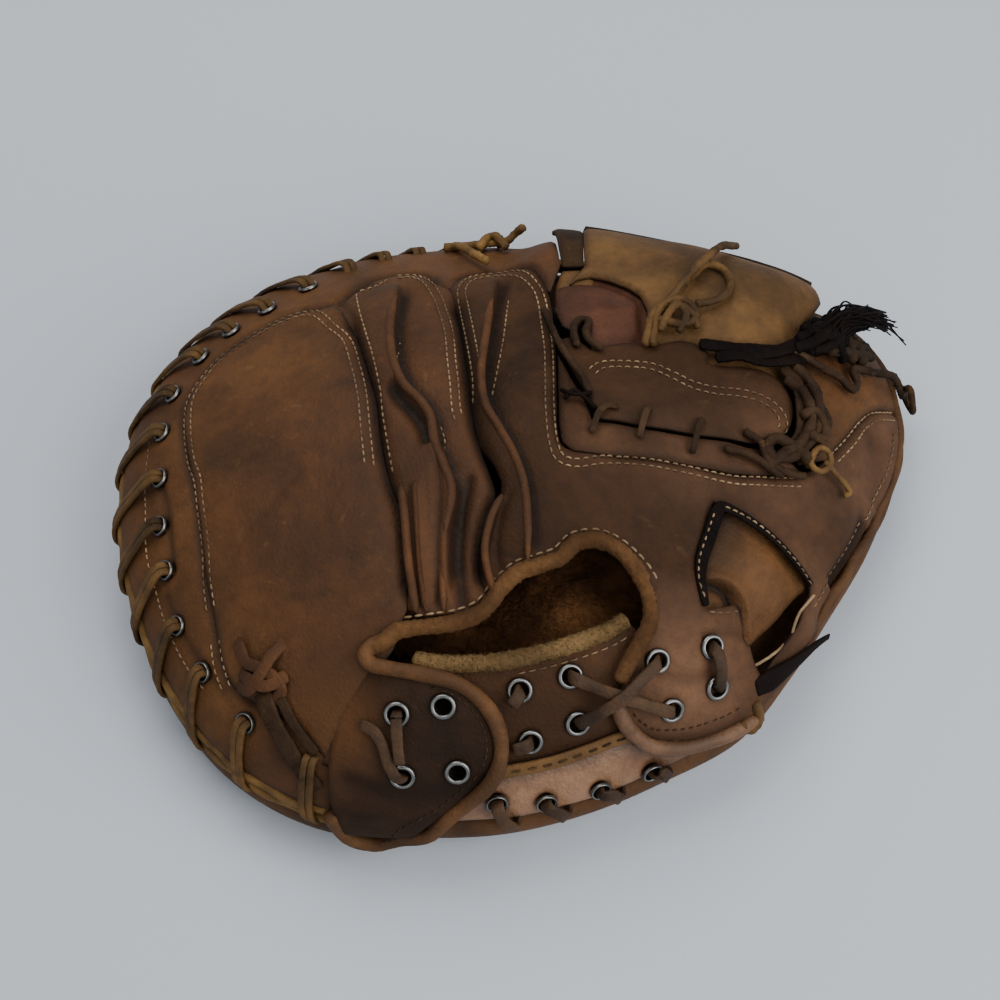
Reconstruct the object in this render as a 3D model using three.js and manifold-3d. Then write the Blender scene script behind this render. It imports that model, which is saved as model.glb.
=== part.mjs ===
// Catcher's mitt for the left hand, lying on its palm with the laced back upwards.
// Millimetres, +Z up, +Y towards the finger tips, the table at z = 0.
import * as THREE from 'three';
import { mergeVertices } from 'three/addons/utils/BufferGeometryUtils.js';
import Module from 'manifold-3d';

const wasm = await Module();
wasm.setup();

// Driving dimensions of the mitt's body
const SEAM_HEIGHT = 20;        // the widest line of the mitt above the table
const SHOULDER_RISE = 32;      // the rolled shoulder above that line
const SHOULDER_POWER = 4;      // how square the shoulder is
const CROWN_RISE = 34;         // the middle of the back above the shoulder
const CROWN_POWER = 1.2;
const CROWN_TILT = 0.04;       // the back falls towards the finger tips
const LEATHER = 3;             // back leather with its backing
const EDGE = 0.985;            // the back leather ends at this share of the outline
const GAP = 0.3;               // between pieces that touch
const SEAM_GAP = 0.5;          // between panels that are sewn side by side
const ANGLE_STEPS = 30;        // facets round the mitt
const RINGS = [0.28, 0.5, 0.67, 0.8, 0.885, 0.94, EDGE];

// The middle of the whole mitt's box, which becomes the origin
const CENTRE = { x: 4, y: 2 };

// Outline seen from above: radius in mm every 15 degrees, anticlockwise from +X
const OUTLINE = [
  133, 151, 157, 141, 127, 121, 120, 123, 131, 140, 146, 147,
  144, 140, 138, 136, 130, 119, 113, 109, 108, 112, 113, 119,
];

// The web stands proud of the back at the far right: a ridge along its own line
const WEB_RISE = { height: 17, x: 15, y: 122, cos: 0.94, sin: 0.342, offset: 14, width: 26,
  start: -12, full: 8, fall: 85, end: 125 };

// Palm: a padded ring round a pocket. Columns: share of the outline radius, height
const PALM_PROFILE = [
  [0, 42], [0.6, 38], [0.73, 35], [0.8, 27], [0.86, 19.2], [0.985, 18.4], [1, 15.5],
  [1, 11], [0.98, 5.5], [0.94, 1.5], [0.895, 0], [0.8, 0], [0.73, 3], [0.62, 12],
  [0.48, 20], [0, 27],
];

// Seam lines on the back. Columns: x, y
const FINGER_GROOVE = [
  [-63, 66], [-58, 56], [-54, 42], [-51, 30], [-48.5, 20], [-47, 8], [-45, -5], [-42, -17],
  [-38.5, -26], [-37, -40], [-35.5, -60],
];
const MIDDLE_GROOVE = [
  [-22.5, 74], [-20, 60], [-17.5, 40], [-15.5, 20], [-14, 6], [-11.5, -4], [-8.5, -13],
  [-6.5, -21], [-10, -32], [-12, -42], [-11.5, -50], [-9, -57],
];
const OUTER_PANEL_SEAM = [
  [-62, -100], [-72, -91], [-82, -84], [-92, -78], [-98, -70], [-101, -60], [-103, -50],
  [-106, -38], [-111, -12], [-114, 2], [-118, 18], [-120, 30], [-118.5, 40], [-114, 49],
  [-106, 57], [-97, 63], [-88, 68], [-78, 70.5], [-70, 70],
];
const RING_ARCH = [
  [-63, 72], [-59, 80], [-53, 87], [-46, 91], [-38, 91], [-32, 87], [-27, 80],
];
const MIDDLE_ARCH = [
  [-22.5, 79], [-20, 85], [-15, 89], [-8, 90.5], [-1, 90], [5, 86.5], [9.5, 80], [12.5, 71],
  [14, 58], [14.5, 40], [14.5, 20], [14.5, 4], [16, -3], [20, -5.5],
];
const WEB_BORDER = [
  [30, -6], [45, -5.5], [60, -5.5], [75, -6], [86, -4], [95, -1], [103, 2],
];
const THUMB_SEAM = [
  [112, 10], [120, 21], [127, 31], [133, 38], [140, 43.5], [150, 47],
];
const HEEL_SEAM = [
  [-64, -101], [-50, -106], [-35, -108], [-20, -107], [-5, -104.5], [12, -101], [25, -96.5],
  [38, -91.5], [50, -90], [62, -86.5], [74, -81], [82, -74.5],
];
const VENT = [
  [68, -17], [75, -18.5], [83, -20.5], [91, -24.5], [98, -29], [104.5, -34], [100, -42],
  [94, -51], [88, -59], [82, -66], [79, -63], [77, -56], [75.5, -49], [68, -51.5],
  [61.5, -53], [60, -42], [64, -30],
];
const SLIT = [[-12, -4], [-7.5, -9], [-4, -17], [-4.5, -22], [-9, -15]];

// The hand opening and the rolls that bind it. Columns: x, y, lift above the back
const ROLL = 3.1;              // radius of the fleece and leather rolls
const TAB_ROLL = 2.5;
const OPENING_ROLL_PATH = [
  [-43, -69.5, 1.5], [-38, -66.5, 0.5], [-28, -65.5, 0.5], [-18, -64, 0.5], [-10, -60.5, 0.5],
  [-5, -54.5, 0.5], [1, -49, 0.5], [9, -46, 0.5], [15, -43.5, 0.5], [20, -38.5, 0.5],
  [27, -37, 0.5], [34, -39.5, 0.5], [40, -45, 0.5], [44, -52, 0.7], [44, -59, 2.5],
  [40, -66, 4.2], [36, -72, 4.2], [33.5, -77, 4],
];
const CENTRE_ROLL_PATH = [
  [-17.5, -76.3, 0], [-12, -76, 0], [-2, -75, 0], [10, -72, 0], [22, -68, 0],
  [31, -64, 0], [36.5, -60.5, 0],
];
const TAB_OUTLINE = [
  [-47, -73.5], [-41, -76.5], [-28, -79], [-18, -81.5], [-10, -86.5], [-5.5, -93], [-5, -99.5],
  [-8.5, -105.5], [-15, -109.5], [-22, -112.6], [-30, -115], [-40, -117.5], [-50.5, -121.5],
  [-57, -117], [-61, -111.5], [-62.5, -104], [-61.5, -95], [-58, -86], [-52, -79],
];
const TAB_ROLL_POINTS = 15;    // the roll runs round this many of the tab's points
const TAB_ROLL_PATH = TAB_OUTLINE.slice(0, TAB_ROLL_POINTS).map(([x, y]) => [x, y, 3.1]);
const STRAP_ROLL_PATH = [
  [32.5, -83, 3.2], [36, -88, 3.2], [44, -91, 3.2], [54, -89.5, 3.2], [64, -86, 3.2],
  [74, -81, 3.2], [82, -75, 3.2],
];
const OPENING_END = [[43.5, -56], [38, -60]];

// Round each strap the leather is lifted over the heel piece below it
const STRAP_LIFT = LEATHER + GAP;

// Eyelets. Columns: x, y, lift of the leather that each is set in
const RIM_EYELETS = [
  [-77, 88, 0], [-92, 78.5, 0], [-105, 70, 0], [-116, 60, 0], [-125, 44, 0], [-127, 26, 0],
  [-126, 6, 0], [-124.5, -13, 0], [-121, -30, 0], [-116, -50, 0], [-106, -67.5, 0], [-90, -86, 0],
];
const HEEL_EYELETS = [[-6, -110.6, 0], [10.5, -109, 0], [28.8, -103.8, 0], [46.5, -96.6, 0]];
const TAB_EYELETS = [[-38.5, -89, STRAP_LIFT], [-37, -104, STRAP_LIFT], [-23.5, -87, STRAP_LIFT],
  [-19, -103, STRAP_LIFT]];
const CENTRE_EYELETS = [[1.5, -83, 0], [18, -78, 0], [5, -96, 0], [20.5, -90, 0]];
const STRAP_EYELETS = [[46, -70, STRAP_LIFT], [51, -81.5, STRAP_LIFT], [64, -63.5, STRAP_LIFT],
  [66, -73.5, STRAP_LIFT]];
const EYELET = { inner: 2.7, rim: 4.2, strap: 4.7, height: 1, sides: 7, hole: 3.3, holeSides: 5 };

// Laces: flat rawhide
const LACE = { width: 4, thickness: 1.6 };

function smoothstep(from, to, value) {
  const t = THREE.MathUtils.clamp((value - from) / (to - from), 0, 1);
  return t * t * (3 - 2 * t);
}

// A closed Catmull-Rom curve through the outline's radii
function outlineRadius(angle) {
  const count = OUTLINE.length;
  const turn = (((angle / (2 * Math.PI)) % 1) + 1) % 1;
  const place = turn * count;
  const i = Math.floor(place);
  const t = place - i;
  const at = (k) => OUTLINE[(k + count) % count];
  const [a, b, c, d] = [at(i - 1), at(i), at(i + 1), at(i + 2)];
  return b + 0.5 * t * (c - a + t * (2 * a - 5 * b + 4 * c - d + t * (3 * (b - c) + d - a)));
}

function share(x, y) {
  return Math.hypot(x, y) / outlineRadius(Math.atan2(y, x));
}

function webRise(x, y, rho) {
  const w = WEB_RISE;
  const across = (x - w.x) * w.sin + (y - w.y) * w.cos;
  const along = (x - w.x) * w.cos - (y - w.y) * w.sin;
  const ridge = Math.exp(-(((across + w.offset) / w.width) ** 2));
  const ends = smoothstep(w.start, w.full, along) * (1 - smoothstep(w.fall, w.end, along));
  return w.height * ridge * ends * (1 - rho ** 8);
}

// A point on the back. Past the outline the surface runs straight down the side
function backPoint(angle, rho) {
  const radius = outlineRadius(angle);
  if (rho > 1) {
    const drop = (rho - 1) * radius;
    return new THREE.Vector3(radius * Math.cos(angle), radius * Math.sin(angle), SEAM_HEIGHT - drop);
  }
  const x = rho * radius * Math.cos(angle);
  const y = rho * radius * Math.sin(angle);
  const shoulder = SHOULDER_RISE * Math.sqrt(1 - rho ** SHOULDER_POWER);
  const crown = (CROWN_RISE - CROWN_TILT * y) * (1 - rho ** 2) ** CROWN_POWER;
  return new THREE.Vector3(x, y, SEAM_HEIGHT + shoulder + crown + webRise(x, y, rho));
}

function backNormal(angle, rho) {
  if (rho > 0.999) {
    const ahead = backPoint(angle + 0.01, 1);
    const behind = backPoint(angle - 0.01, 1);
    return ahead.sub(behind).cross(new THREE.Vector3(0, 0, 1)).normalize();
  }
  const step = 0.0008;
  const base = Math.max(rho, 0.01);
  const out = backPoint(angle, Math.min(base + step, 1)).sub(backPoint(angle, base - step));
  const round = backPoint(angle + 0.01, base).sub(backPoint(angle - 0.01, base));
  return out.cross(round).normalize();
}

function onBack(x, y, lift = 0) {
  const angle = Math.atan2(y, x);
  const rho = share(x, y);
  return backPoint(angle, rho).addScaledVector(backNormal(angle, rho), lift);
}

function normalAt(x, y) {
  return backNormal(Math.atan2(y, x), share(x, y));
}

// Closed solids as indexed meshes
function solidFrom(vertices, triangles) {
  const mesh = new wasm.Mesh({
    numProp: 3,
    vertProperties: new Float32Array(vertices),
    triVerts: new Uint32Array(triangles),
  });
  return new wasm.Manifold(mesh);
}

function solidOf(geometry) {
  const bare = geometry.clone();
  bare.deleteAttribute('normal');
  bare.deleteAttribute('uv');
  const merged = mergeVertices(bare, 1e-4);
  return solidFrom(merged.attributes.position.array, merged.index.array);
}

function geometryOf(solid) {
  const { vertProperties, triVerts } = solid.getMesh();
  const geometry = new THREE.BufferGeometry();
  geometry.setAttribute('position', new THREE.BufferAttribute(new Float32Array(vertProperties), 3));
  geometry.setIndex(new THREE.BufferAttribute(new Uint32Array(triVerts), 1));
  geometry.computeVertexNormals();
  return geometry;
}

// A leaf of leather: two skins over the whole back, joined at their outer edge.
// pointAt(angle, rho, side) gives a point of the outer (side 1) or inner (side 0) skin
function leaf(pointAt, rings, steps = ANGLE_STEPS) {
  const vertices = [];
  const triangles = [];
  const index = (side, ring, step) => side * (rings.length * steps + 1) + 1 + ring * steps + (step % steps);
  for (const side of [1, 0]) {
    vertices.push(...pointAt(0, 0, side).toArray());
    for (const rho of rings) {
      for (let i = 0; i < steps; i++) {
        vertices.push(...pointAt((2 * Math.PI * i) / steps, rho, side).toArray());
      }
    }
  }
  const quad = (a, b, c, d) => triangles.push(a, b, c, a, c, d);
  for (let i = 0; i < steps; i++) {
    const bottom = rings.length * steps + 1;
    triangles.push(0, index(0, 0, i), index(0, 0, i + 1));
    triangles.push(bottom, index(1, 0, i + 1), index(1, 0, i));
    for (let r = 0; r + 1 < rings.length; r++) {
      quad(index(0, r, i), index(0, r + 1, i), index(0, r + 1, i + 1), index(0, r, i + 1));
      quad(index(1, r, i), index(1, r, i + 1), index(1, r + 1, i + 1), index(1, r + 1, i));
    }
    const last = rings.length - 1;
    quad(index(0, last, i), index(1, last, i), index(1, last, i + 1), index(0, last, i + 1));
  }
  return solidFrom(vertices, triangles);
}

// A leaf that follows the back, its outer skin lifted by lift(x, y, rho)
function backLeaf(lift, thickness = LEATHER, rings = RINGS) {
  return leaf((angle, rho, side) => {
    const point = backPoint(angle, rho);
    const height = lift(point.x, point.y, rho) - (side ? 0 : thickness);
    return point.addScaledVector(backNormal(angle, rho), height);
  }, rings);
}

// A strip of leather between two lines of the same number of plan points
function strip(from, to, across, lift, thickness = LEATHER) {
  const vertices = [];
  const triangles = [];
  const rows = across + 1;
  for (const depth of [0, thickness]) {
    from.forEach(([ax, ay], i) => {
      const [bx, by] = to[i];
      for (let j = 0; j < rows; j++) {
        const t = j / across;
        vertices.push(...onBack(ax + (bx - ax) * t, ay + (by - ay) * t, lift - depth).toArray());
      }
    });
  }
  const skin = from.length * rows;
  const at = (side, i, j) => side * skin + i * rows + j;
  const quad = (a, b, c, d) => triangles.push(a, b, c, a, c, d);
  for (let i = 0; i + 1 < from.length; i++) {
    for (let j = 0; j < across; j++) {
      quad(at(0, i, j), at(0, i, j + 1), at(0, i + 1, j + 1), at(0, i + 1, j));
      quad(at(1, i, j), at(1, i + 1, j), at(1, i + 1, j + 1), at(1, i, j + 1));
    }
    quad(at(0, i, 0), at(0, i + 1, 0), at(1, i + 1, 0), at(1, i, 0));
    quad(at(0, i, across), at(1, i, across), at(1, i + 1, across), at(0, i + 1, across));
  }
  const last = from.length - 1;
  for (let j = 0; j < across; j++) {
    quad(at(0, 0, j), at(1, 0, j), at(1, 0, j + 1), at(0, 0, j + 1));
    quad(at(0, last, j), at(0, last, j + 1), at(1, last, j + 1), at(1, last, j));
  }
  return solidFrom(vertices, triangles);
}

// A patch of leather inside a plan outline that its centre sees all round
function patch(outline, [cx, cy], rings, liftAt, thickness) {
  return leaf((angle, rho, side) => {
    const place = Math.round((angle / (2 * Math.PI)) * outline.length) % outline.length;
    const [ox, oy] = outline[place];
    const x = cx + (ox - cx) * rho;
    const y = cy + (oy - cy) * rho;
    return onBack(x, y, liftAt(x, y) - (side ? 0 : thickness));
  }, rings, outline.length);
}

// Plan outlines and the upright prisms that cut leaves to them
function smooth(points, perSpan = 1, closed = false) {
  const curve = new THREE.CatmullRomCurve3(points.map(([x, y]) => new THREE.Vector3(x, y, 0)), closed);
  const spans = closed ? points.length : points.length - 1;
  const line = curve.getPoints(spans * perSpan).map((p) => [p.x, p.y]);
  return closed ? line.slice(0, -1) : line;
}

function area(points) {
  return points.reduce((sum, [x, y], i) => {
    const [nx, ny] = points[(i + 1) % points.length];
    return sum + (x * ny - nx * y) / 2;
  }, 0);
}

function sideStep(points, i, closed) {
  const count = points.length;
  const previous = closed ? points[(i - 1 + count) % count] : points[Math.max(i - 1, 0)];
  const next = closed ? points[(i + 1) % count] : points[Math.min(i + 1, count - 1)];
  const here = points[i];
  const before = new THREE.Vector2(here[0] - previous[0], here[1] - previous[1]).normalize();
  const after = new THREE.Vector2(next[0] - here[0], next[1] - here[1]).normalize();
  const along = before.clone().add(after).normalize();
  const lead = after.lengthSq() > 0 ? after : before;
  const spread = 1 / Math.max(along.dot(lead), 0.6);
  return new THREE.Vector2(along.y, -along.x).multiplyScalar(spread);
}

function grow(points, distance) {
  const sign = area(points) > 0 ? 1 : -1;
  return points.map(([x, y], i) => {
    const step = sideStep(points, i, true).multiplyScalar(sign * distance);
    return [x + step.x, y + step.y];
  });
}

function lengthened(points, extra) {
  const beyond = ([x, y], [nx, ny]) => {
    const reach = extra / Math.hypot(x - nx, y - ny);
    return [x + (x - nx) * reach, y + (y - ny) * reach];
  };
  const last = points.length - 1;
  return [beyond(points[0], points[1]), ...points.slice(1, -1), beyond(points[last], points[last - 1])];
}

function band(points, halfWidth) {
  const left = [];
  const right = [];
  lengthened(points, 2).forEach(([x, y], i, line) => {
    const step = sideStep(line, i, false).multiplyScalar(halfWidth);
    right.push([x + step.x, y + step.y]);
    left.unshift([x - step.x, y - step.y]);
  });
  return [...right, ...left];
}

function prism(points) {
  const apart = points.filter(([x, y], i) => {
    const [px, py] = points[(i + points.length - 1) % points.length];
    return Math.hypot(x - px, y - py) > 0.05;
  });
  const shape = new THREE.Shape(apart.map(([x, y]) => new THREE.Vector2(x, y)));
  const geometry = new THREE.ExtrudeGeometry(shape, { depth: 160, bevelEnabled: false });
  geometry.translate(0, 0, -30);
  return solidOf(geometry);
}

function boreAt([x, y, lift], radius, depth = 13) {
  const geometry = new THREE.CylinderGeometry(radius, radius, depth, EYELET.holeSides);
  const turn = new THREE.Quaternion().setFromUnitVectors(new THREE.Vector3(0, 1, 0), normalAt(x, y));
  geometry.applyQuaternion(turn);
  geometry.translate(...onBack(x, y, lift - LEATHER / 2).toArray());
  return solidOf(geometry);
}

// A round roll or welt along a line on the back
function rollCurve(rows) {
  return new THREE.CatmullRomCurve3(rows.map(([x, y, lift]) => onBack(x, y, lift)));
}

function rollGeometry(rows, radius, sides = 6) {
  return tubeGeometry(rollCurve(rows), radius, rows.length - 1, sides);
}

function tubeGeometry(path, radius, steps, sides) {
  const section = new THREE.Shape();
  section.absarc(0, 0, radius, 0, 2 * Math.PI);
  return new THREE.ExtrudeGeometry(section, {
    extrudePath: path,
    steps,
    curveSegments: sides / 2,
    bevelEnabled: false,
  });
}

// A flat lace through points, with a wanted direction across it at each
function laceGeometry(points, across, width = LACE.width, thickness = LACE.thickness) {
  const vertices = [];
  const triangles = [];
  points.forEach((point, i) => {
    const ahead = points[Math.min(i + 1, points.length - 1)];
    const behind = points[Math.max(i - 1, 0)];
    const along = ahead.clone().sub(behind).normalize();
    const wide = across[i].clone().addScaledVector(along, -across[i].dot(along)).normalize();
    const thick = along.clone().cross(wide);
    for (const [u, v] of [[-1, -1], [1, -1], [1, 1], [-1, 1]]) {
      const corner = point.clone().addScaledVector(wide, (u * width) / 2);
      vertices.push(...corner.addScaledVector(thick, (v * thickness) / 2).toArray());
    }
  });
  for (let i = 0; i + 1 < points.length; i++) {
    for (let k = 0; k < 4; k++) {
      const a = 4 * i + k;
      const b = 4 * i + ((k + 1) % 4);
      triangles.push(a, b, b + 4, a, b + 4, a + 4);
    }
  }
  const end = 4 * (points.length - 1);
  triangles.push(0, 2, 1, 0, 3, 2, end, end + 1, end + 2, end, end + 2, end + 3);
  const geometry = new THREE.BufferGeometry();
  geometry.setAttribute('position', new THREE.Float32BufferAttribute(vertices, 3));
  geometry.setIndex(triangles);
  geometry.computeVertexNormals();
  return geometry;
}

function curveThrough(points, perSpan) {
  return new THREE.CatmullRomCurve3(points, false, 'centripetal').getPoints((points.length - 1) * perSpan);
}

// Materials
const finish = (color, roughness = 0.65, metalness = 0) =>
  new THREE.MeshStandardMaterial({ color, roughness, metalness });
const BACK = finish('#6b4a33');
const WORN_BACK = finish('#5d4634');
const TAN = finish('#a3794e');
const OLIVE = finish('#8a6c45');
const HEEL = finish('#7a5549', 0.5);
const PURPLE = finish('#6a4340');
const FLEECE = finish('#9a8052', 0.95);
const LACING = finish('#8d7050', 0.7);
const BLACK = finish('#1d1716', 0.6);
const STEEL = finish('#b9b9b8', 0.3, 1);

const mitt = new THREE.Group();
mitt.name = 'catcher_mitt';
mitt.position.set(-CENTRE.x, -CENTRE.y, 0);

function add(name, shape, material) {
  const geometry = shape.isBufferGeometry ? shape : geometryOf(shape);
  const mesh = new THREE.Mesh(geometry, material);
  mesh.name = name;
  mitt.add(mesh);
}

// The padded palm, resting on the flat ring of its underside
function palmPad() {
  const rings = PALM_PROFILE.slice(1, -1);
  const steps = ANGLE_STEPS;
  const vertices = [0, 0, PALM_PROFILE[0][1]];
  const triangles = [];
  for (const [rho, z] of rings) {
    for (let i = 0; i < steps; i++) {
      const angle = (2 * Math.PI * i) / steps;
      const radius = rho * outlineRadius(angle);
      vertices.push(radius * Math.cos(angle), radius * Math.sin(angle), z);
    }
  }
  const last = 1 + rings.length * steps;
  vertices.push(0, 0, PALM_PROFILE[PALM_PROFILE.length - 1][1]);
  const at = (ring, step) => 1 + ring * steps + (step % steps);
  for (let i = 0; i < steps; i++) {
    triangles.push(0, at(0, i), at(0, i + 1), last, at(rings.length - 1, i + 1), at(rings.length - 1, i));
    for (let r = 0; r + 1 < rings.length; r++) {
      triangles.push(at(r, i), at(r + 1, i), at(r + 1, i + 1), at(r, i), at(r + 1, i + 1), at(r, i + 1));
    }
  }
  return solidFrom(vertices, triangles);
}
add('palm_pad', palmPad(), TAN);

// Height of the cavity's floor: the palm profile's upper side
function floorHeight(x, y) {
  const rho = share(x, y);
  const rows = PALM_PROFILE.slice(0, 6);
  for (let i = 0; i + 1 < rows.length; i++) {
    const [[a, low], [b, high]] = [rows[i], rows[i + 1]];
    if (rho <= b) return low + ((high - low) * (rho - a)) / (b - a);
  }
  return rows[rows.length - 1][1];
}

// The hand's lining shows through the opening as a brown fleece pad
const LINING = { x: 4, y: -43, halfLength: 54, halfWidth: 32, thickness: 3, swell: 14,
  swellX: 14, swellY: -50, swellSize: 24, clear: 1 };
function handLining() {
  const l = LINING;
  return leaf((angle, rho, side) => {
    const x = l.x + rho * l.halfLength * Math.cos(angle);
    const y = l.y + rho * l.halfWidth * Math.sin(angle);
    const reach = Math.hypot(x - l.swellX, y - l.swellY) / l.swellSize;
    const swell = side * (l.thickness + l.swell * Math.exp(-reach * reach)) * (1 - 0.6 * rho ** 6);
    return new THREE.Vector3(x, y, floorHeight(x, y) + l.clear + swell);
  }, [0.4, 0.75, 1], 18);
}
add('hand_lining', handLining(), FLEECE);

// Panels of the back, each cut from what the panels before it have left
const noLift = () => 0;
const strapLift = (x, y) => STRAP_LIFT * smoothstep(-36, -49, y) * smoothstep(12, 25, x);

function without(solid, outlines) {
  return outlines.reduce((rest, outline) => rest.subtract(prism(outline)), solid);
}

function bored(solid, eyelets) {
  return eyelets.reduce((rest, eyelet) => rest.subtract(boreAt(eyelet, EYELET.hole)), solid);
}

const planLine = (rows) => rollCurve(rows).getSpacedPoints(rows.length - 1).map((p) => [p.x, p.y]);
const onLine = (line, lift) => line.map(([x, y]) => [x, y, lift]);
const openingLine = planLine(OPENING_ROLL_PATH);
const centreLine = planLine(CENTRE_ROLL_PATH);
const strapLine = planLine(STRAP_ROLL_PATH);
const opening = [...openingLine.slice(0, 14), ...OPENING_END, ...centreLine.slice().reverse(),
  [-41, -76]];
const openingRollBand = band(openingLine, ROLL + GAP);
const upperRollBand = band(openingLine.slice(0, 15), ROLL + GAP);
const centreRollBand = band(centreLine, ROLL - GAP);
const strapRollBand = band(strapLine, TAB_ROLL + GAP);
const WELT = { radius: 1.25, sunk: -0.6, slot: 1.75 };
const leftWeltBand = band(planLine(onLine(FINGER_GROOVE, WELT.sunk)), WELT.slot);
const middleWeltRows = onLine(MIDDLE_GROOVE.slice(0, -1), WELT.sunk);
const middleWeltBand = band(planLine(middleWeltRows), WELT.slot);

const fingerOutline = [...smooth(OUTER_PANEL_SEAM), ...smooth(FINGER_GROOVE), [-40, -72], [-47, -80],
  [-56, -90]];
const ringOutline = [...smooth(FINGER_GROOVE).reverse(), ...smooth(RING_ARCH), ...smooth(MIDDLE_GROOVE),
  [-20, -60]];
const handOutline = [...smooth(MIDDLE_GROOVE).reverse(), ...smooth(MIDDLE_ARCH), ...smooth(WEB_BORDER),
  ...smooth(THUMB_SEAM), [190, 60], [170, -60], [118, -92], [86, -69.5], [84, -74],
  ...strapLine.slice().reverse(), [33.5, -80], [36, -72], [40, -66],
  [44, -58], [40, -50], [0, -50]];
const thumbOutline = [[100, 4], ...smooth([...WEB_BORDER.slice(-1), ...THUMB_SEAM]), [190, 60], [160, 110],
  [123, 90], [112, 74], [105, 58], [104, 44], [104.5, 34], [102.5, 26], [100, 17]];
const bandOutline = [[26, 160], [26, 84], [17, 75.5], [30, 73], [48, 70], [50, 50], [60, 48.5],
  [70, 49], [85, 50.5], [95, 49], [103, 46.5], [104, 58], [111, 74.5], [122, 91], [150, 130]];
const backPanelOutline = smooth([[21, 41], [27, 43.5], [33, 43], [39, 46], [46, 43.5], [52, 42.5], [60, 45],
  [70, 46], [80, 47.5], [90, 46], [98, 43], [102, 35], [100.5, 27], [97, 17], [91, 10], [84, 7],
  [70, 6.5], [58, 5.5], [46, 6.5], [36, 7.5], [29, 9], [26, 16], [23, 28]], 1, true);
const lowerStripOutline = [[16.5, 12], [19, 5], [28, 3.5], [38, 4.5], [47, 3], [57, 3], [70, 4], [84, 4.5],
  [92, 4], [99, 3], [95, -0.5], [86, -3.5], [75, -5.5], [60, -5], [45, -5], [30, -5.5], [21, -5],
  [17, -2], [16, 4]];
const flapOutline = [[15, 62], [16, 79], [46, 77], [49, 60], [48, 47], [43, 48], [38, 46], [33, 43.5],
  [28, 50], [24, 62], [21, 52], [18, 54]];
const ventOutline = smooth(VENT, 1, true);
const HEEL_OUTLINE = [...smooth(HEEL_SEAM), [80, -66], [70, -65], [56, -65.5], [47, -65.5], [42, -64],
  [36, -60], [-28, -74], [-56, -84], [-62, -92]];
const RIM_BAND_AREA = [[15, 160], [15, 60], [-70, 20], [-90, -60], [-63, -101], [-90, -150], [-200, -60],
  [-200, 160]];

function flatPanels() {
  let rest = bored(backLeaf(noLift), [...RIM_EYELETS, ...TAB_EYELETS, ...CENTRE_EYELETS, ...STRAP_EYELETS]);
  rest = without(rest, [opening, upperRollBand, centreRollBand, leftWeltBand, middleWeltBand]);
  const take = (outline) => {
    const piece = rest.intersect(prism(outline));
    rest = rest.subtract(prism(grow(outline, SEAM_GAP)));
    return piece;
  };
  const pieces = {
    finger: take(fingerOutline),
    ring: take(ringOutline),
    heel: take(HEEL_OUTLINE),
    lowerStrip: take(lowerStripOutline),
    backPanel: take(backPanelOutline),
  };
  rest = without(rest, [grow(handOutline, SEAM_GAP)]);
  pieces.thumb = take(thumbOutline);
  pieces.rimBand = rest.subtract(prism(bandOutline)).intersect(prism(RIM_BAND_AREA));
  return pieces;
}
const panels = flatPanels();

// Ribs where the leather is folded over the stall seams. Columns: x, y, lift
const RING_FOLD = [[-42, 84, -1], [-42, 70, 0], [-43, 52, 0], [-41, 34, 0], [-37, 23, 0], [-31, 15, 0],
  [-27.5, 8, 0], [-26, -2, 0], [-22.5, -12, 0], [-20, -21, 0], [-22, -36, 0], [-21.5, -58, -1]];
const MIDDLE_FOLD = [[-5, 86, -1], [-7, 66, 0], [-9, 45, 0], [-10.5, 26, 0], [-9, 13, 0], [-4, 2, 0],
  [1, -9, 0], [4, -20, 0], [5, -34, -1]];
const FOLD_RADIUS = 1.7;
const fold = (rows) => solidOf(rollGeometry(rows, FOLD_RADIUS, 6));

add('little_finger_panel', panels.finger, BACK);
add('ring_finger_panel', panels.ring.add(fold(RING_FOLD)), WORN_BACK);

function handPanel() {
  let solid = bored(backLeaf(strapLift), STRAP_EYELETS).intersect(prism(handOutline));
  solid = without(solid, [opening, openingRollBand, middleWeltBand, ventOutline, strapRollBand, SLIT]);
  return solid.add(fold(MIDDLE_FOLD));
}
add('hand_panel', handPanel(), WORN_BACK);
add('thumb_panel', panels.thumb, TAN);
add('rim_band', panels.rimBand, BACK);
add('heel_piece', panels.heel, BACK);

// The web: a high band with a free edge, a flap below it, a laced back panel and its strip
const CREST = 0.915;
const BAND_RINGS = [0.28, 0.5, 0.67, 0.78, 0.86, CREST];
const bandLift = (x, y, rho) => 7 * smoothstep(0.72, CREST, rho);
const webBand = backLeaf(bandLift, LEATHER, BAND_RINGS).intersect(prism(bandOutline));
add('web_band', webBand, OLIVE);
const flapLift = () => -LEATHER - GAP - 0.3;
add('web_flap', backLeaf(flapLift, 2).intersect(prism(flapOutline)), PURPLE);
add('web_back_panel', panels.backPanel, WORN_BACK);
add('web_lower_strip', panels.lowerStrip, WORN_BACK);

// The thumb's sleeve swells into the vent from below
const SLEEVE = [
  [112, -30], [106, -24], [95, -16], [84, -11.5], [70, -10], [58, -14], [54, -28], [54, -42],
  [55, -56], [66, -60], [77, -64], [84, -58], [90, -51.5], [96, -44], [103, -36.5],
];
const SLEEVE_SWELL = { x: 84, y: -39, size: 12, height: 3.4, depth: -LEATHER - GAP - 0.5 };
const sleeveLift = (x, y) => {
  const reach = Math.hypot(x - SLEEVE_SWELL.x, y - SLEEVE_SWELL.y) / SLEEVE_SWELL.size;
  return SLEEVE_SWELL.depth + SLEEVE_SWELL.height * Math.exp(-(reach ** 4));
};
add('thumb_sleeve', patch(SLEEVE, [82, -38], [0.3, 0.55, 0.78, 1], sleeveLift, 2), TAN);

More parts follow.
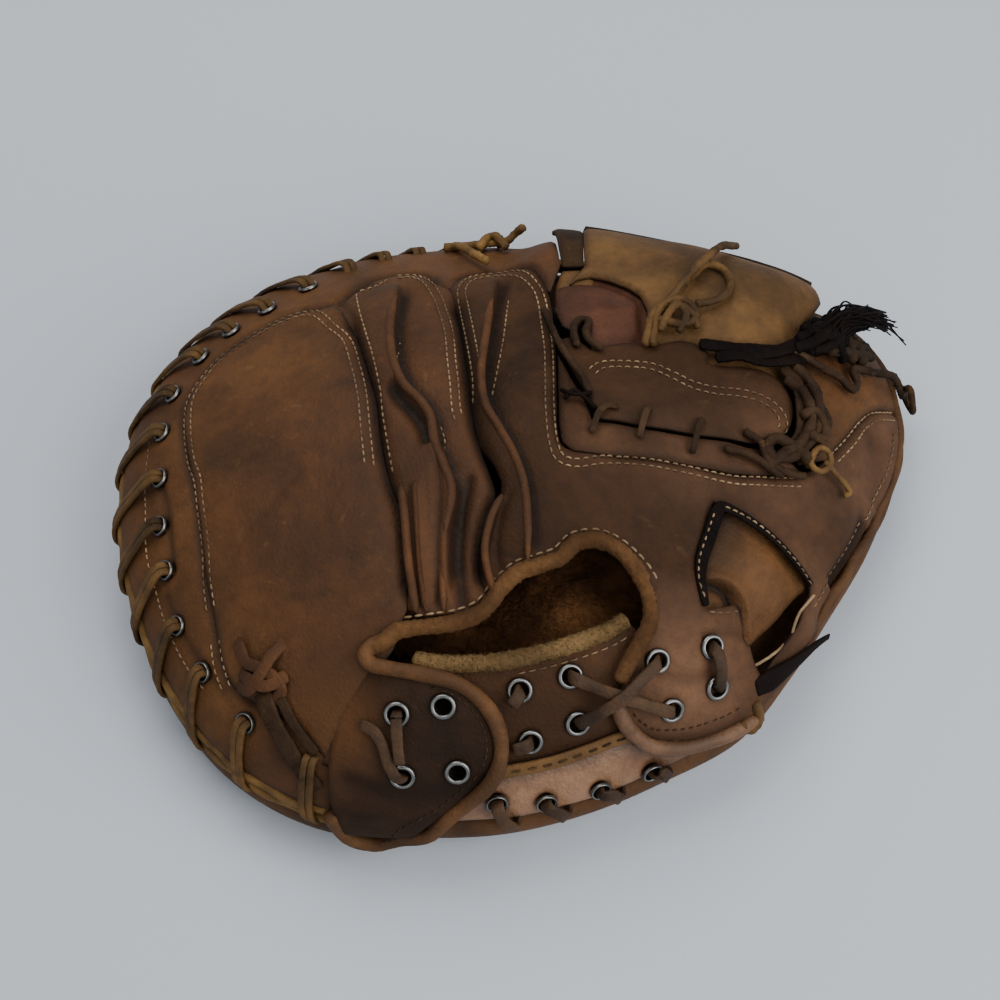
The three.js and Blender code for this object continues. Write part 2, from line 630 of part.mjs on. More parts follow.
// The left tab lies over the heel piece and wraps down over the edge
const TAB_CENTRE = [-34, -97];
const tabLeather = grow(TAB_OUTLINE.slice().reverse(), -TAB_ROLL - 3 * GAP);
const tabLift = (x, y) => STRAP_LIFT + 1.1 * smoothstep(0.9, 0.97, share(x, y));
const tabPatch = patch(tabLeather, TAB_CENTRE, [0.35, 0.65, 0.87, 1], tabLift, LEATHER);
add('left_tab', bored(tabPatch, TAB_EYELETS), BACK);

// The heel band runs down the side from the heel seam
const HEEL_REACH = 0.9985;
const atShare = ([x, y], rho) => {
  const scale = rho / share(x, y);
  return [x * scale, y * scale];
};
const heelBandTop = HEEL_SEAM.map(([x, y]) => atShare([x, y], share(x, y) - 0.015));
const heelBandFoot = HEEL_SEAM.map((point) => atShare(point, HEEL_REACH));
const heelBand = without(strip(heelBandTop, heelBandFoot, 3, -0.2), [grow(HEEL_OUTLINE, SEAM_GAP),
  grow(RIM_BAND_AREA, SEAM_GAP)]);
add('heel_band', bored(heelBand, HEEL_EYELETS), HEEL);

// Rolls, welts and bindings
add('opening_binding', rollGeometry(OPENING_ROLL_PATH, ROLL), FLEECE);
add('centre_binding', rollGeometry(CENTRE_ROLL_PATH, ROLL), FLEECE);
add('tab_binding', rollGeometry(TAB_ROLL_PATH, TAB_ROLL), TAN);
add('strap_binding', rollGeometry(STRAP_ROLL_PATH, TAB_ROLL), TAN);
add('finger_welt', rollGeometry(onLine(FINGER_GROOVE, WELT.sunk), WELT.radius, 6), BACK);
add('middle_welt', rollGeometry(middleWeltRows, WELT.radius, 6), BACK);

// The bound edge below the back leather, a closed ring
const BINDING = { inset: 3.2, height: 24, radius: 2.3, sides: 6, from: -37, to: 236, steps: 32 };
function rimPoint(angle, inset, z) {
  const radius = outlineRadius(angle) - inset;
  return new THREE.Vector3(radius * Math.cos(angle), radius * Math.sin(angle), z);
}
function rimBinding() {
  const b = BINDING;
  const points = [];
  for (let i = 0; i <= b.steps; i++) {
    const degrees = b.from + ((b.to - b.from) * i) / b.steps;
    points.push(rimPoint(THREE.MathUtils.degToRad(degrees), b.inset, b.height));
  }
  return tubeGeometry(new THREE.CatmullRomCurve3(points), b.radius, b.steps, b.sides);
}
add('rim_binding', rimBinding(), TAN);

// The black binding round the vent. Columns: x, y, width
const VENT_BINDING = [[61.5, -52, 3], [61.5, -42, 5], [65.5, -30, 5.5], [69.5, -19, 5.5], [80, -21, 3.4],
  [91, -25.5, 3], [103, -33, 2.4]];
function ventBinding() {
  const line = VENT_BINDING.map(([x, y]) => [x, y]);
  const edges = [...line.map(([x, y], i) => {
    const step = sideStep(line, i, false).multiplyScalar(VENT_BINDING[i][2] / 2);
    return [x + step.x, y + step.y];
  }), ...line.map(([x, y], i) => {
    const step = sideStep(line, i, false).multiplyScalar(VENT_BINDING[i][2] / 2);
    return [x - step.x, y - step.y];
  }).reverse()];
  return backLeaf((x, y) => strapLift(x, y) + GAP + 1.4, 1.4).intersect(prism(edges));
}
add('vent_binding', ventBinding(), BLACK);

// Eyelets, set round each hole
function eyelet([x, y, lift], outer) {
  const e = EYELET;
  const profile = [[e.inner, 0], [outer, 0], [(e.inner + outer) / 2, e.height], [e.inner, 0]];
  const ring = new THREE.LatheGeometry(profile.map(([r, h]) => new THREE.Vector2(r, h)), e.sides);
  const turn = new THREE.Quaternion().setFromUnitVectors(new THREE.Vector3(0, 1, 0), normalAt(x, y));
  ring.applyQuaternion(turn);
  ring.translate(...onBack(x, y, lift + GAP).toArray());
  return solidOf(ring);
}
const EYELET_ROWS = [
  ['rim', RIM_EYELETS, EYELET.rim], ['heel', HEEL_EYELETS, EYELET.rim], ['tab', TAB_EYELETS, EYELET.strap],
  ['centre', CENTRE_EYELETS, EYELET.strap], ['strap', STRAP_EYELETS, EYELET.strap],
];
for (const [name, eyelets, outer] of EYELET_ROWS) {
  eyelets.forEach((row, i) => add(`${name}_eyelet_${i + 1}`, eyelet(row, outer), STEEL));
}

// Whip lacing: out of an eyelet, over the bound edge, back below it and up to the next eyelet.
// Columns: share of the way round to the next eyelet, inset from the outline, height
const WHIP_OVER_EDGE = [[0.32, 0.2, 29.4], [0.42, -1.5, 25.5], [0.5, -0.9, 21.6], [0.56, 3.4, 20.1],
  [0.66, 9, 21.4]];
const HEEL_OVER_EDGE = [[0.18, -2.3, 27.4], [0.32, -2.9, 24], [0.42, -1.8, 21.1], [0.5, 1.5, 19.9],
  [0.6, 6, 20.2], [0.7, 10, 22]];
const WHIP_LIFTS = { below: -5, above: 3.1, shoulder: 2.6 };
function whipLace(eyelets, turnOn, overEdge, hasShoulder) {
  const points = [];
  const across = [];
  const put = (point, side) => {
    points.push(point);
    across.push(side);
  };
  eyelets.forEach(([x, y], i) => {
    const angle = Math.atan2(y, x);
    const next = eyelets[i + 1];
    const step = next ? ((Math.atan2(next[1], next[0]) - angle + 2 * Math.PI) % (2 * Math.PI)) : turnOn;
    const side = rimPoint(angle + 0.02, 0, 0).sub(rimPoint(angle - 0.02, 0, 0)).normalize();
    put(onBack(x, y, WHIP_LIFTS.below), side);
    put(onBack(x, y, WHIP_LIFTS.above), side);
    const onShoulder = rimPoint(angle + 0.18 * step, (1 - share(x, y)) * 0.45 * outlineRadius(angle), 0);
    if (hasShoulder) put(onBack(onShoulder.x, onShoulder.y, WHIP_LIFTS.shoulder), side);
    for (const [share, inset, z] of overEdge) put(rimPoint(angle + share * step, inset, z), side);
  });
  const curve = curveThrough(points, 1);
  return laceGeometry(curve, across);
}
add('rim_lace', whipLace(RIM_EYELETS, 0.14, WHIP_OVER_EDGE, true), LACING);
add('heel_lace', whipLace(HEEL_EYELETS, 0.14, HEEL_OVER_EDGE, false), LACING);

// The strap lace crosses from the heel piece to the strap. Columns: x, y, lift
const UNDER = -6;
const STRAP_LACE = [
  [-1.4, -86.4, 3], [0.6, -84.4, 2.8], [1.5, -83, 1], [1.5, -83, -3], [5, -82, UNDER],
  [15, -79, UNDER], [18, -78, -3], [18, -78, 1], [19.5, -78.4, 3], [25, -79.6, 3.8], [31.5, -80.4, 7.4],
  [38, -81, 7], [45, -81.6, 5.8], [49.6, -81.6, 6.2], [51, -81.5, 4.2], [51, -81.5, -3],
  [55, -79.4, UNDER], [62, -75.6, UNDER], [66, -73.5, -3], [66, -73.5, 4.2], [65.8, -71.6, 6.6],
  [64.4, -65.6, 7.6], [64, -63.5, 4.2], [64, -63.5, -3], [60, -65, UNDER], [50, -69, UNDER],
  [46, -70, -3], [46, -70, 4.2], [44.6, -71, 6.4], [39, -75, 8.6], [32, -80.6, 10], [26.5, -85, 7],
  [22, -88.6, 3.2], [20.5, -90, 1], [20.5, -90, -3], [17, -91.6, UNDER], [9, -94.8, UNDER],
  [5, -96, -3], [5, -96, 1], [3.4, -96.4, 2.9], [-0.6, -97.6, 2.5],
];
// The tab lace: a strand between two eyelets, with a curled free end
const TAB_LACE = [
  [-49.5, -91, 4.6], [-45.5, -93, 4.8], [-43, -96.5, 5], [-41.4, -100.4, 5.4], [-39, -103.2, 6.5],
  [-37, -104, 4.4], [-37, -104, -3], [-37.4, -100, UNDER], [-38.2, -93, UNDER], [-38.5, -89, -3],
  [-38.5, -89, 4.4], [-38.4, -91, 6.6], [-38.1, -95.5, 6.9], [-37.6, -100, 7.6],
];
function surfaceLace(rows, width, thickness) {
  const points = rows.map(([x, y, lift]) => onBack(x, y, lift));
  const across = rows.map(([x, y], i) => {
    let [before, after] = [i, i];
    while (before > 0 && Math.hypot(rows[before][0] - x, rows[before][1] - y) < 1) before--;
    while (after < rows.length - 1 && Math.hypot(rows[after][0] - x, rows[after][1] - y) < 1) after++;
    return points[after].clone().sub(points[before]).cross(normalAt(x, y)).normalize();
  });
  return laceGeometry(points, across, width, thickness);
}
add('strap_lace', surfaceLace(STRAP_LACE, LACE.width, LACE.thickness), LACING);
add('tab_lace', surfaceLace(TAB_LACE, 3.4, 1.4), LACING);

// Knots and loose ends of round cord. Columns: x, y, lift
const CORD_RADIUS = 1.7;
function cord(rows, radius = CORD_RADIUS, sides = 4) {
  return solidOf(tubeGeometry(rollCurve(rows), radius, 2 * rows.length - 3, sides));
}
const fused = (solids) => solids.reduce((whole, next) => whole.add(next));
const WEB_KNOT = [
  [[54, 57, 2.5], [60, 58, 3], [66, 62, 3.2], [79, 66, 2.8], [85, 75, 3], [79, 83, 4.4], [69, 80, 3.4],
    [61, 71, 3], [55, 66, 2.5]],
  [[52, 64, 2.6], [57, 59, 3.9], [62, 58, 4.4], [67, 61, 2.8]],
  [[57, 54.5, 2.6], [60, 60, 5.2], [64, 66, 2.8]],
  [[63, 66, 3.4], [70, 78, 5], [77, 87, 8], [82, 94, 11]],
];
const TOP_KNOT = [
  [[-26, 112, 3], [-18, 114, 3], [-9, 112.5, 4], [-2, 113, 5], [4, 113, 9], [5, 113, 13]],
  [[-13, 109, 3], [-9, 113, 6.5], [-5, 116, 3]],
  [[-12, 115, 3], [-7, 112, 7], [-2, 109, 3]],
];
const THUMB_LACE = [
  [[108, 41, 4], [112, 37, 4.5], [117, 32, 5], [119, 27, 5], [114, 25, 3.5], [111, 30, 3], [107, 34, 3]],
  [[115, 33.5, 4], [124, 41, 3.5], [134, 49, 3.5], [143, 55, 4], [150, 58, 7]],
  [[102, 38, 3], [107, 33, 3], [110, 24, 3], [107, 14, 3], [101, 7, 3]],
  [[112, 31, 3], [115, 22, 3], [112, 12, 3], [105, 5, 3.5]],
  [[96, 14, 2.4], [99, 6, 4.5], [107, 2, 4], [114, 6, 4], [112, 13, 5.5], [105, 15, 5.5]],
  [[103, 22, 2.4], [106, 16, 6], [113, 8, 7], [118, 2, 4]],
];
add('web_knot', fused(WEB_KNOT.map((rows) => cord(rows))), LACING);
add('top_knot', fused(TOP_KNOT.map((rows) => cord(rows))), LACING);
add('thumb_lace', fused(THUMB_LACE.map((rows) => cord(rows, 2.2))), LACING);

// The black lace: a flat lace knotted over its own tail, and the frayed locks of its tassel
const BLACK_TAILS = [
  [[66, 42, 1.8], [74, 41, 2], [84, 40, 2.2], [92, 41.5, 2.4], [98, 43.5, 3]],
  [[70, 47, 1.8], [76, 43.5, 3.4], [84, 44, 3.2], [92, 45, 3.6], [97, 46, 3.6]],
];
const TASSEL_HEAD = [[102.5, 47.5, 4], [106, 50, 4.3], [111, 53.5, 5.2], [116, 57, 7]];
// Where each lock of the tassel ends. Columns: x, y, lift
const TASSEL_TIPS = [
  [124, 86, 8], [130, 83, 14], [136, 79, 12], [138, 74, 17], [141, 70, 14], [140, 64, 17], [139, 60, 11],
];
const locks = TASSEL_TIPS.map(([x, y, lift]) => cord([[110, 53, 6.5], [(110 + x) / 2, (56 + y) / 2,
  (8 + lift) / 2], [x, y, lift]], 1.9));
const tails = BLACK_TAILS.map((rows) => solidOf(surfaceLace(rows, 5.5, 1.7)));
add('black_lace', fused(tails), BLACK);
add('tassel', fused([cord(TASSEL_HEAD, 3.6, 6), ...locks]), BLACK);

export default mitt;
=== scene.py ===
# %% [markdown]
# # A catcher's mitt, worked out as surfaces
# The mitt lies on its palm with the laced back upwards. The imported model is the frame: it gives every
# piece its place and its size. Each cell below dresses one part of it, from the palm up to the laces.
# %% Load the frame
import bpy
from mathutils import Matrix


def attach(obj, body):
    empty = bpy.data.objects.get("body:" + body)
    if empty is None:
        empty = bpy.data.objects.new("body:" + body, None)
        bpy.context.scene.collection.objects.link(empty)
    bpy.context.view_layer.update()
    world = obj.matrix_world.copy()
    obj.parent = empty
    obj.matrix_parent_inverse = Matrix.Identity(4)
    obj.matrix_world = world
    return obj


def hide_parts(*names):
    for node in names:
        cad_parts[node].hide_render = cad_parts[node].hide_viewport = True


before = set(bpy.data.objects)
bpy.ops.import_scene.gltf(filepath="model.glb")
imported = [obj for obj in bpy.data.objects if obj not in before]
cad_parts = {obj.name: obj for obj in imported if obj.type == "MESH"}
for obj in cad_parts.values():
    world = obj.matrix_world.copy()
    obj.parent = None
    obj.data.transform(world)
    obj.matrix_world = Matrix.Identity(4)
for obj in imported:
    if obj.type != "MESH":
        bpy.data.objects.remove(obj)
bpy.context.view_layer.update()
print("nodes in the frame:", len(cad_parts))

# %% Libraries and the mitt's own centre
import math
import bpy
import numpy as np
from mathutils import Vector
from mathutils.geometry import delaunay_2d_cdt

CENTRE = np.array([4.0, 2.0, 0.0])   # plan millimetres that lie at the frame's origin
rng = np.random.default_rng(7)

# %% [markdown]
# ## The shape under the leather
# The back is a dome over an outline. The outline is a radius for every 15 degrees, and the height
# depends on the share of that radius: a square shoulder and a crown, with a ridge that lifts the web.
# Everything that lies on the back is placed through these functions, so it always fits.
# %% The outline and the dome
OUTLINE = np.array([133, 151, 157, 141, 127, 121, 120, 123, 131, 140, 146, 147,
                    144, 140, 138, 136, 130, 119, 113, 109, 108, 112, 113, 119], float)
SEAM_HEIGHT, SHOULDER_RISE, CROWN_RISE = 20.0, 32.0, 34.0
EDGE = 0.985      # the leather of the back ends at this share of the outline


def smoothstep(low, high, value):
    """0 up to low, 1 from high on, and an S-shaped rise between them. low may lie above high."""
    t = np.clip((value - low) / (high - low), 0, 1)
    return t * t * (3 - 2 * t)


def outline_radius(angle):
    """Catmull-Rom curve through the 24 radii, at any angle in radians."""
    place = (angle / (2 * np.pi)) % 1 * 24
    i = np.floor(place).astype(int)
    t = place - i
    a, b, c, d = (OUTLINE[(i + k) % 24] for k in (-1, 0, 1, 2))
    return b + 0.5 * t * (c - a + t * (2 * a - 5 * b + 4 * c - d + t * (3 * (b - c) + d - a)))


def share(xy):
    """How far out a plan point lies, as a share of the outline's radius there."""
    return np.hypot(xy[:, 0], xy[:, 1]) / outline_radius(np.arctan2(xy[:, 1], xy[:, 0]))


def web_rise(x, y, rho):
    """A bell-shaped ridge along the web's own line, fading at both of its ends and at the rim."""
    across = (x - 15) * 0.342 + (y - 122) * 0.94
    along = (x - 15) * 0.94 - (y - 122) * 0.342
    ends = smoothstep(-12, 8, along) * (1 - smoothstep(85, 125, along))
    return 17 * np.exp(-((across + 14) / 26) ** 2) * ends * (1 - rho ** 8)


def back_point(angle, rho):
    """A point of the dome at an angle and a share. Past share 1 it runs straight down the side."""
    radius = outline_radius(angle)
    inner = np.minimum(rho, 1)
    x, y = inner * radius * np.cos(angle), inner * radius * np.sin(angle)
    crown = (CROWN_RISE - 0.04 * y) * np.clip(1 - inner ** 2, 0, 1) ** 1.2
    shoulder = SHOULDER_RISE * np.sqrt(np.clip(1 - inner ** 4, 0, 1))
    z = SEAM_HEIGHT + shoulder + crown + web_rise(x, y, inner) - (rho - inner) * radius
    return np.stack([x, y, z], -1)


def back_normal(angle, rho):
    """The outward normal, from small steps outwards and round the dome."""
    base = np.clip(rho, 0.01, 0.9985)
    out = back_point(angle, base + 0.0008) - back_point(angle, base - 0.0008)
    turn = back_point(angle + 0.01, base) - back_point(angle - 0.01, base)
    normal = np.cross(out, turn)
    return normal / np.linalg.norm(normal, axis=-1, keepdims=True)


def on_back(xy, lift=0.0):
    """Plan points to points in space, lifted off the dome along its normal."""
    xy = np.atleast_2d(np.asarray(xy, float))
    angle, rho = np.arctan2(xy[:, 1], xy[:, 0]), share(xy)
    return back_point(angle, rho) + back_normal(angle, rho) * np.reshape(lift, (-1, 1))


def normal_at(xy):
    """The dome's outward normal over plan points."""
    xy = np.atleast_2d(np.asarray(xy, float))
    return back_normal(np.arctan2(xy[:, 1], xy[:, 0]), share(xy))


print("top of the dome, mm:", on_back([[0, 0]]).round(1))

# %% [markdown]
# ## Curves
# Seams, laces and rolls all follow smooth curves through a few named points. A centripetal
# Catmull-Rom curve is used, because it neither loops nor overshoots where points lie close together.
# %% Curves through points
def spline(points, per_span=8):
    """Centripetal Catmull-Rom: each span is a Hermite cubic, its slopes from root-of-distance steps."""
    p = np.asarray(points, float)
    p = np.vstack([2 * p[0] - p[1], p, 2 * p[-1] - p[-2]])
    step = np.maximum(np.linalg.norm(np.diff(p, axis=0), axis=1) ** 0.5, 1e-4)[:, None]
    a, b, c, d = p[:-3], p[1:-2], p[2:-1], p[3:]
    s0, s1, s2 = step[:-2], step[1:-1], step[2:]
    m1 = ((b - a) / s0 - (c - a) / (s0 + s1) + (c - b) / s1) * s1
    m2 = ((c - b) / s1 - (d - b) / (s1 + s2) + (d - c) / s2) * s1
    t = np.linspace(0, 1, per_span, endpoint=False)[:, None, None]
    h = (2 * t**3 - 3 * t**2 + 1) * b + (t**3 - 2 * t**2 + t) * m1
    h = h + (3 * t**2 - 2 * t**3) * c + (t**3 - t**2) * m2
    return np.vstack([h.transpose(1, 0, 2).reshape(-1, p.shape[1]), p[-2]])


def even(line, step):
    """The same curve in equal steps, at most that long."""
    length = np.r_[0, np.cumsum(np.linalg.norm(np.diff(line, axis=0), axis=1))]
    marks = np.linspace(0, length[-1], max(int(np.ceil(length[-1] / step)), 2) + 1)
    return np.stack([np.interp(marks, length, line[:, k]) for k in range(line.shape[1])], -1)


def curve(points, step=1.2):
    """An even, smooth curve through a table of points."""
    return even(spline(points), step)


def offset(line, distance):
    """A plan curve moved sideways, to its left where the distance is positive."""
    along = np.gradient(line, axis=0)
    along = along / np.linalg.norm(along, axis=1, keepdims=True)
    return line + distance * np.stack([-along[:, 1], along[:, 0]], -1)


def rim_arc(start, end, rho=EDGE, step=1.4):
    """Plan points along the outline at a share, between two angles in degrees."""
    count = max(int(abs(end - start) * 2.3 / step), 2)
    angle = np.radians(np.linspace(start, end, count))
    radius = rho * outline_radius(angle)
    return np.stack([radius * np.cos(angle), radius * np.sin(angle)], -1)


# %% [markdown]
# ## The seams of the back
# These are the lines that the leather is sewn and folded along, as plan points in millimetres.
# The same lines cut the panels, press the valleys between them and carry the stitches.
# %% Seam lines
FINGER_GROOVE = [(-63, 66), (-58, 56), (-54, 42), (-51, 30), (-48.5, 20), (-47, 8), (-45, -5), (-42, -17),
                 (-38.5, -26), (-37, -40), (-35.5, -60)]
MIDDLE_GROOVE = [(-22.5, 74), (-20, 60), (-17.5, 40), (-15.5, 20), (-14, 6), (-11.5, -4), (-8.5, -13),
                 (-6.5, -21), (-10, -32), (-12, -42), (-11.5, -50), (-9, -57)]
PANEL_SEAM = [(-62, -100), (-72, -91), (-82, -84), (-92, -78), (-98, -70), (-101, -60), (-103, -50),
              (-106, -38), (-111, -12), (-114, 2), (-118, 18), (-120, 30), (-118.5, 40), (-114, 49),
              (-106, 57), (-97, 63), (-88, 68), (-78, 70.5), (-70, 70)]
RING_ARCH = [(-63, 72), (-59, 80), (-53, 87), (-46, 91), (-38, 91), (-32, 87), (-27, 80)]
MIDDLE_ARCH = [(-22.5, 79), (-20, 85), (-15, 89), (-8, 90.5), (-1, 90), (5, 86.5), (9.5, 80), (12.5, 71),
               (14, 58), (14.5, 40), (14.5, 20), (14.5, 4), (16, -3), (20, -5.5)]
WEB_BORDER = [(30, -6), (45, -5.5), (60, -5.5), (75, -6), (86, -4), (95, -1), (103, 2)]
THUMB_SEAM = [(112, 10), (120, 21), (127, 31), (133, 38), (140, 43.5), (147, 46)]
HEEL_SEAM = [(-64, -101), (-50, -106), (-35, -108), (-20, -107), (-5, -104.5), (12, -101), (25, -96.5),
             (38, -91.5), (50, -90), (62, -86.5), (74, -81), (82, -74.5)]
VENT = [(68, -17), (75, -18.5), (83, -20.5), (91, -24.5), (98, -29), (104.5, -34), (100, -42),
        (94, -51), (88, -59), (82, -66), (79, -63), (77, -56), (75.5, -49), (68, -51.5),
        (61.5, -53), (60, -42), (64, -30)]
OPENING_ROLL = [(-43, -69.5, 1.5), (-38, -66.5, 0.5), (-28, -65.5, 0.5), (-18, -64, 0.5), (-10, -60.5, 0.5),
                (-5, -54.5, 0.5), (1, -49, 0.5), (9, -46, 0.5), (15, -43.5, 0.5), (20, -38.5, 0.5),
                (27, -37, 0.5), (34, -39.5, 0.5), (40, -45, 0.5), (44, -52, 0.7), (44, -59, 2.5),
                (40, -66, 4.2), (36, -72, 4.2), (33.5, -77, 4)]
CENTRE_ROLL = [(-17.5, -76.3, 0), (-12, -76, 0), (-2, -75, 0), (10, -72, 0), (22, -68, 0), (31, -64, 0),
               (36.5, -60.5, 0)]
STRAP_ROLL = [(32.5, -83, 3.2), (36, -88, 3.2), (44, -91, 3.2), (54, -89.5, 3.2), (64, -86, 3.2),
              (74, -81, 3.2), (82, -75, 3.2)]
TAB = [(-47, -73.5), (-41, -76.5), (-28, -79), (-18, -81.5), (-10, -86.5), (-5.5, -93), (-5, -99.5),
       (-8.5, -105.5), (-15, -109.5), (-22, -112.6), (-30, -115), (-40, -117.5), (-50.5, -121.5),
       (-57, -117), (-61, -111.5), (-62.5, -104), (-61.5, -95), (-58, -86), (-52, -79)]
RING_FOLD = [(-42, 84), (-42, 70), (-43, 52), (-41, 34), (-37, 23), (-31, 15), (-27.5, 8), (-26, -2),
             (-22.5, -12), (-20, -21), (-22, -36), (-21.5, -58)]
MIDDLE_FOLD = [(-5, 86), (-7, 66), (-9, 45), (-10.5, 26), (-9, 13), (-4, 2), (1, -9), (4, -20), (5, -34),
               (5, -45)]
SEAMS = (FINGER_GROOVE, MIDDLE_GROOVE, PANEL_SEAM, RING_ARCH, MIDDLE_ARCH, WEB_BORDER, THUMB_SEAM,
         HEEL_SEAM)
print("length of the seams in plan, mm:", [round(len(curve(line)) * 1.2) for line in SEAMS])

# %% [markdown]
# ## Valleys, folds and pleats
# Worn leather is never a clean dome. Each crease is a line with a cross-section: a groove dips along a
# seam, a ridge stands up along a welt, and a pleat drops on one side and swells on the other.
# The relief is their sum, and the same distances give a mask that darkens the valleys: painted shade, with
# some dirt.
# %% The relief of the leather
def distance(xy, line):
    """Distance to a polyline, the side (left is positive) and how far along the nearest place is."""
    a, b = line[:-1], line[1:]
    best = np.full(len(xy), 1e9)
    side = np.zeros(len(xy))
    along = np.zeros(len(xy))
    near = np.nonzero((xy > line.min(0) - 30).all(1) & (xy < line.max(0) + 30).all(1))[0]
    if len(near) == 0:
        return best, side, along
    ab = b - a
    ap = xy[near, None, :] - a
    t = np.clip((ap * ab).sum(-1) / (ab * ab).sum(-1), 0, 1)
    gap = ap - t[..., None] * ab
    d = np.hypot(gap[..., 0], gap[..., 1])
    k = d.argmin(1)
    row = np.arange(len(near))
    cross = ab[k, 0] * ap[row, k, 1] - ab[k, 1] * ap[row, k, 0]
    best[near] = d[row, k]
    side[near] = np.sign(cross)
    along[near] = (k + t[row, k]) / len(a)
    return best, side, along


# Line, kind, height in mm, width in mm, dirt and painted shade in the valley
CREASES = [
    (FINGER_GROOVE, "groove", 2.6, 2.6, 0.9), (FINGER_GROOVE, "groove", 1.4, 9, 0.3),
    (MIDDLE_GROOVE, "groove", 3.0, 2.4, 1.0), (MIDDLE_GROOVE, "groove", 1.5, 8, 0.35),
    (PANEL_SEAM, "groove", 0.9, 2.2, 0.45), (RING_ARCH, "groove", 0.9, 2, 0.45),
    (MIDDLE_ARCH, "groove", 0.9, 2, 0.45), (WEB_BORDER, "groove", 0.9, 2.2, 0.45),
    (THUMB_SEAM, "groove", 0.8, 2, 0.4), (HEEL_SEAM, "groove", 1.4, 3, 0.7),
    (RING_FOLD, "pleat", 3.1, 9, 1.0), (MIDDLE_FOLD, "pleat", 2.6, 8, 1.0),
    ([(-38, -18), (-36.5, -30), (-35, -45), (-32.5, -62)], "ridge", 1.9, 1.2, 0.0),
    ([(-32.5, -17), (-31.5, -30), (-30.5, -45), (-28.5, -62)], "ridge", 1.8, 1.1, 0.0),
    ([(-35.3, -16), (-34, -30), (-33, -45), (-30.7, -62)], "groove", 1.4, 1.1, 0.7),
    ([(-26, -8), (-25, -22), (-25.5, -40), (-25, -62)], "groove", 1.5, 1.3, 0.7),
    ([(-15, -12), (-17.5, -28), (-18, -45), (-17, -62)], "groove", 2.2, 2.2, 0.9),
    ([(-4, -22), (-8, -31), (-10, -42), (-8, -52), (-5, -58)], "ridge", 1.5, 1.4, 0.0),
    ([(-1, -20), (-4.5, -30), (-6, -42), (-4, -50)], "groove", 1.1, 1.2, 0.5),
    ([(-43.5, 27), (-40, 19), (-35, 12), (-31, 5), (-29, -4)], "dent", 4.2, 3.2, 1.0),
    ([(-126, 4), (-122.5, -8), (-120.5, -20), (-118, -34)], "groove", 0.9, 1.4, 0.5),
    ([(-122, -36), (-115, -52), (-106, -66), (-96, -78)], "groove", 0.8, 1.6, 0.4),
    ([(-93, -28), (-86, -21), (-78, -12), (-72, -7)], "groove", 0.6, 2.2, 0.25),
    ([(-97, -35), (-91, -28)], "groove", 0.5, 1.5, 0.2),
    ([(-80, 74), (-74, 70), (-66, 73), (-58, 80), (-50, 84)], "groove", 1.0, 1.5, 0.5),
    ([(-66, 76), (-60, 66), (-56, 55)], "groove", 1.2, 1.6, 0.5),
    ([(127, -3), (121, -15), (112, -30)], "groove", 2.4, 2.2, 0.9),
    ([(133, 2), (126, -16), (116, -34), (108, -48)], "groove", 1.2, 2.0, 0.6),
    ([(128, 30), (131, 16), (130, 2)], "groove", 0.9, 3.5, 0.3),
    ([(64.8, -43.5), (69.8, -41.3), (74.5, -42.3), (78.1, -45.8), (80.6, -51.9), (81.8, -57.2)],
     "ridge", 1.9, 2.0, 0.0),
    ([(62, -46.5), (68.5, -44.6), (72.5, -45.8), (75.2, -49.5), (77, -55), (78, -60)],
     "groove", 2.4, 1.8, 1.0),
    ([(60, -62), (68, -59), (77, -58)], "groove", 0.7, 1.6, 0.3),
    ([(38, -66), (48, -73), (58, -73), (68, -68)], "groove", 0.9, 1.8, 0.3),
    ([(30, 66), (45, 64), (62, 60)], "groove", 0.8, 3, 0.2),
    ([(20, 100), (40, 97), (60, 90), (80, 80)], "groove", 0.9, 5, 0.15),
]
CREASES = [(curve(line, 2.0), *rest) for line, *rest in CREASES]
# Darker patches (SHADE), partly worn dark by hands, partly painted shade at folds, in hollows and round the
# tab;
# and where the leather has kept its orange tan (WARM): x, y, size in mm, strength
SHADE = [(22, 47, 6, 0.8), (20, 62, 6, 0.3), (72, -22, 8, 0.6), (-28, -12, 26, 0.5),
         (-30, -100, 26, 0.35), (0, -22, 20, 0.35), (-72, -30, 30, 0.25), (60, 25, 30, 0.3),
         (70, 10, 30, 0.2), (-56, -80, 26, 0.5), (10, -90, 18, 0.35), (44, -25, 26, 0.15)]
WARM = [(57, -74, 20, 1.0), (92, 2, 22, 0.6), (128, 8, 20, 0.6), (-57, -90, 13, 1.0), (-88, 45, 24, 0.7),
        (-70, 58, 18, 0.5), (-100, 72, 18, 0.9), (-80, 90, 22, 0.9), (-40, 104, 26, 0.7),
        (-120, 20, 20, 0.5), (-122, -20, 22, 0.6), (-100, -72, 22, 0.7), (100, -40, 18, 0.6),
        (125, 40, 22, 0.6),
        (-8, 104, 20, 0.7), (-110, -52, 16, 0.5), (30, 0, 12, 0.3), (60, -2, 20, 0.4)]


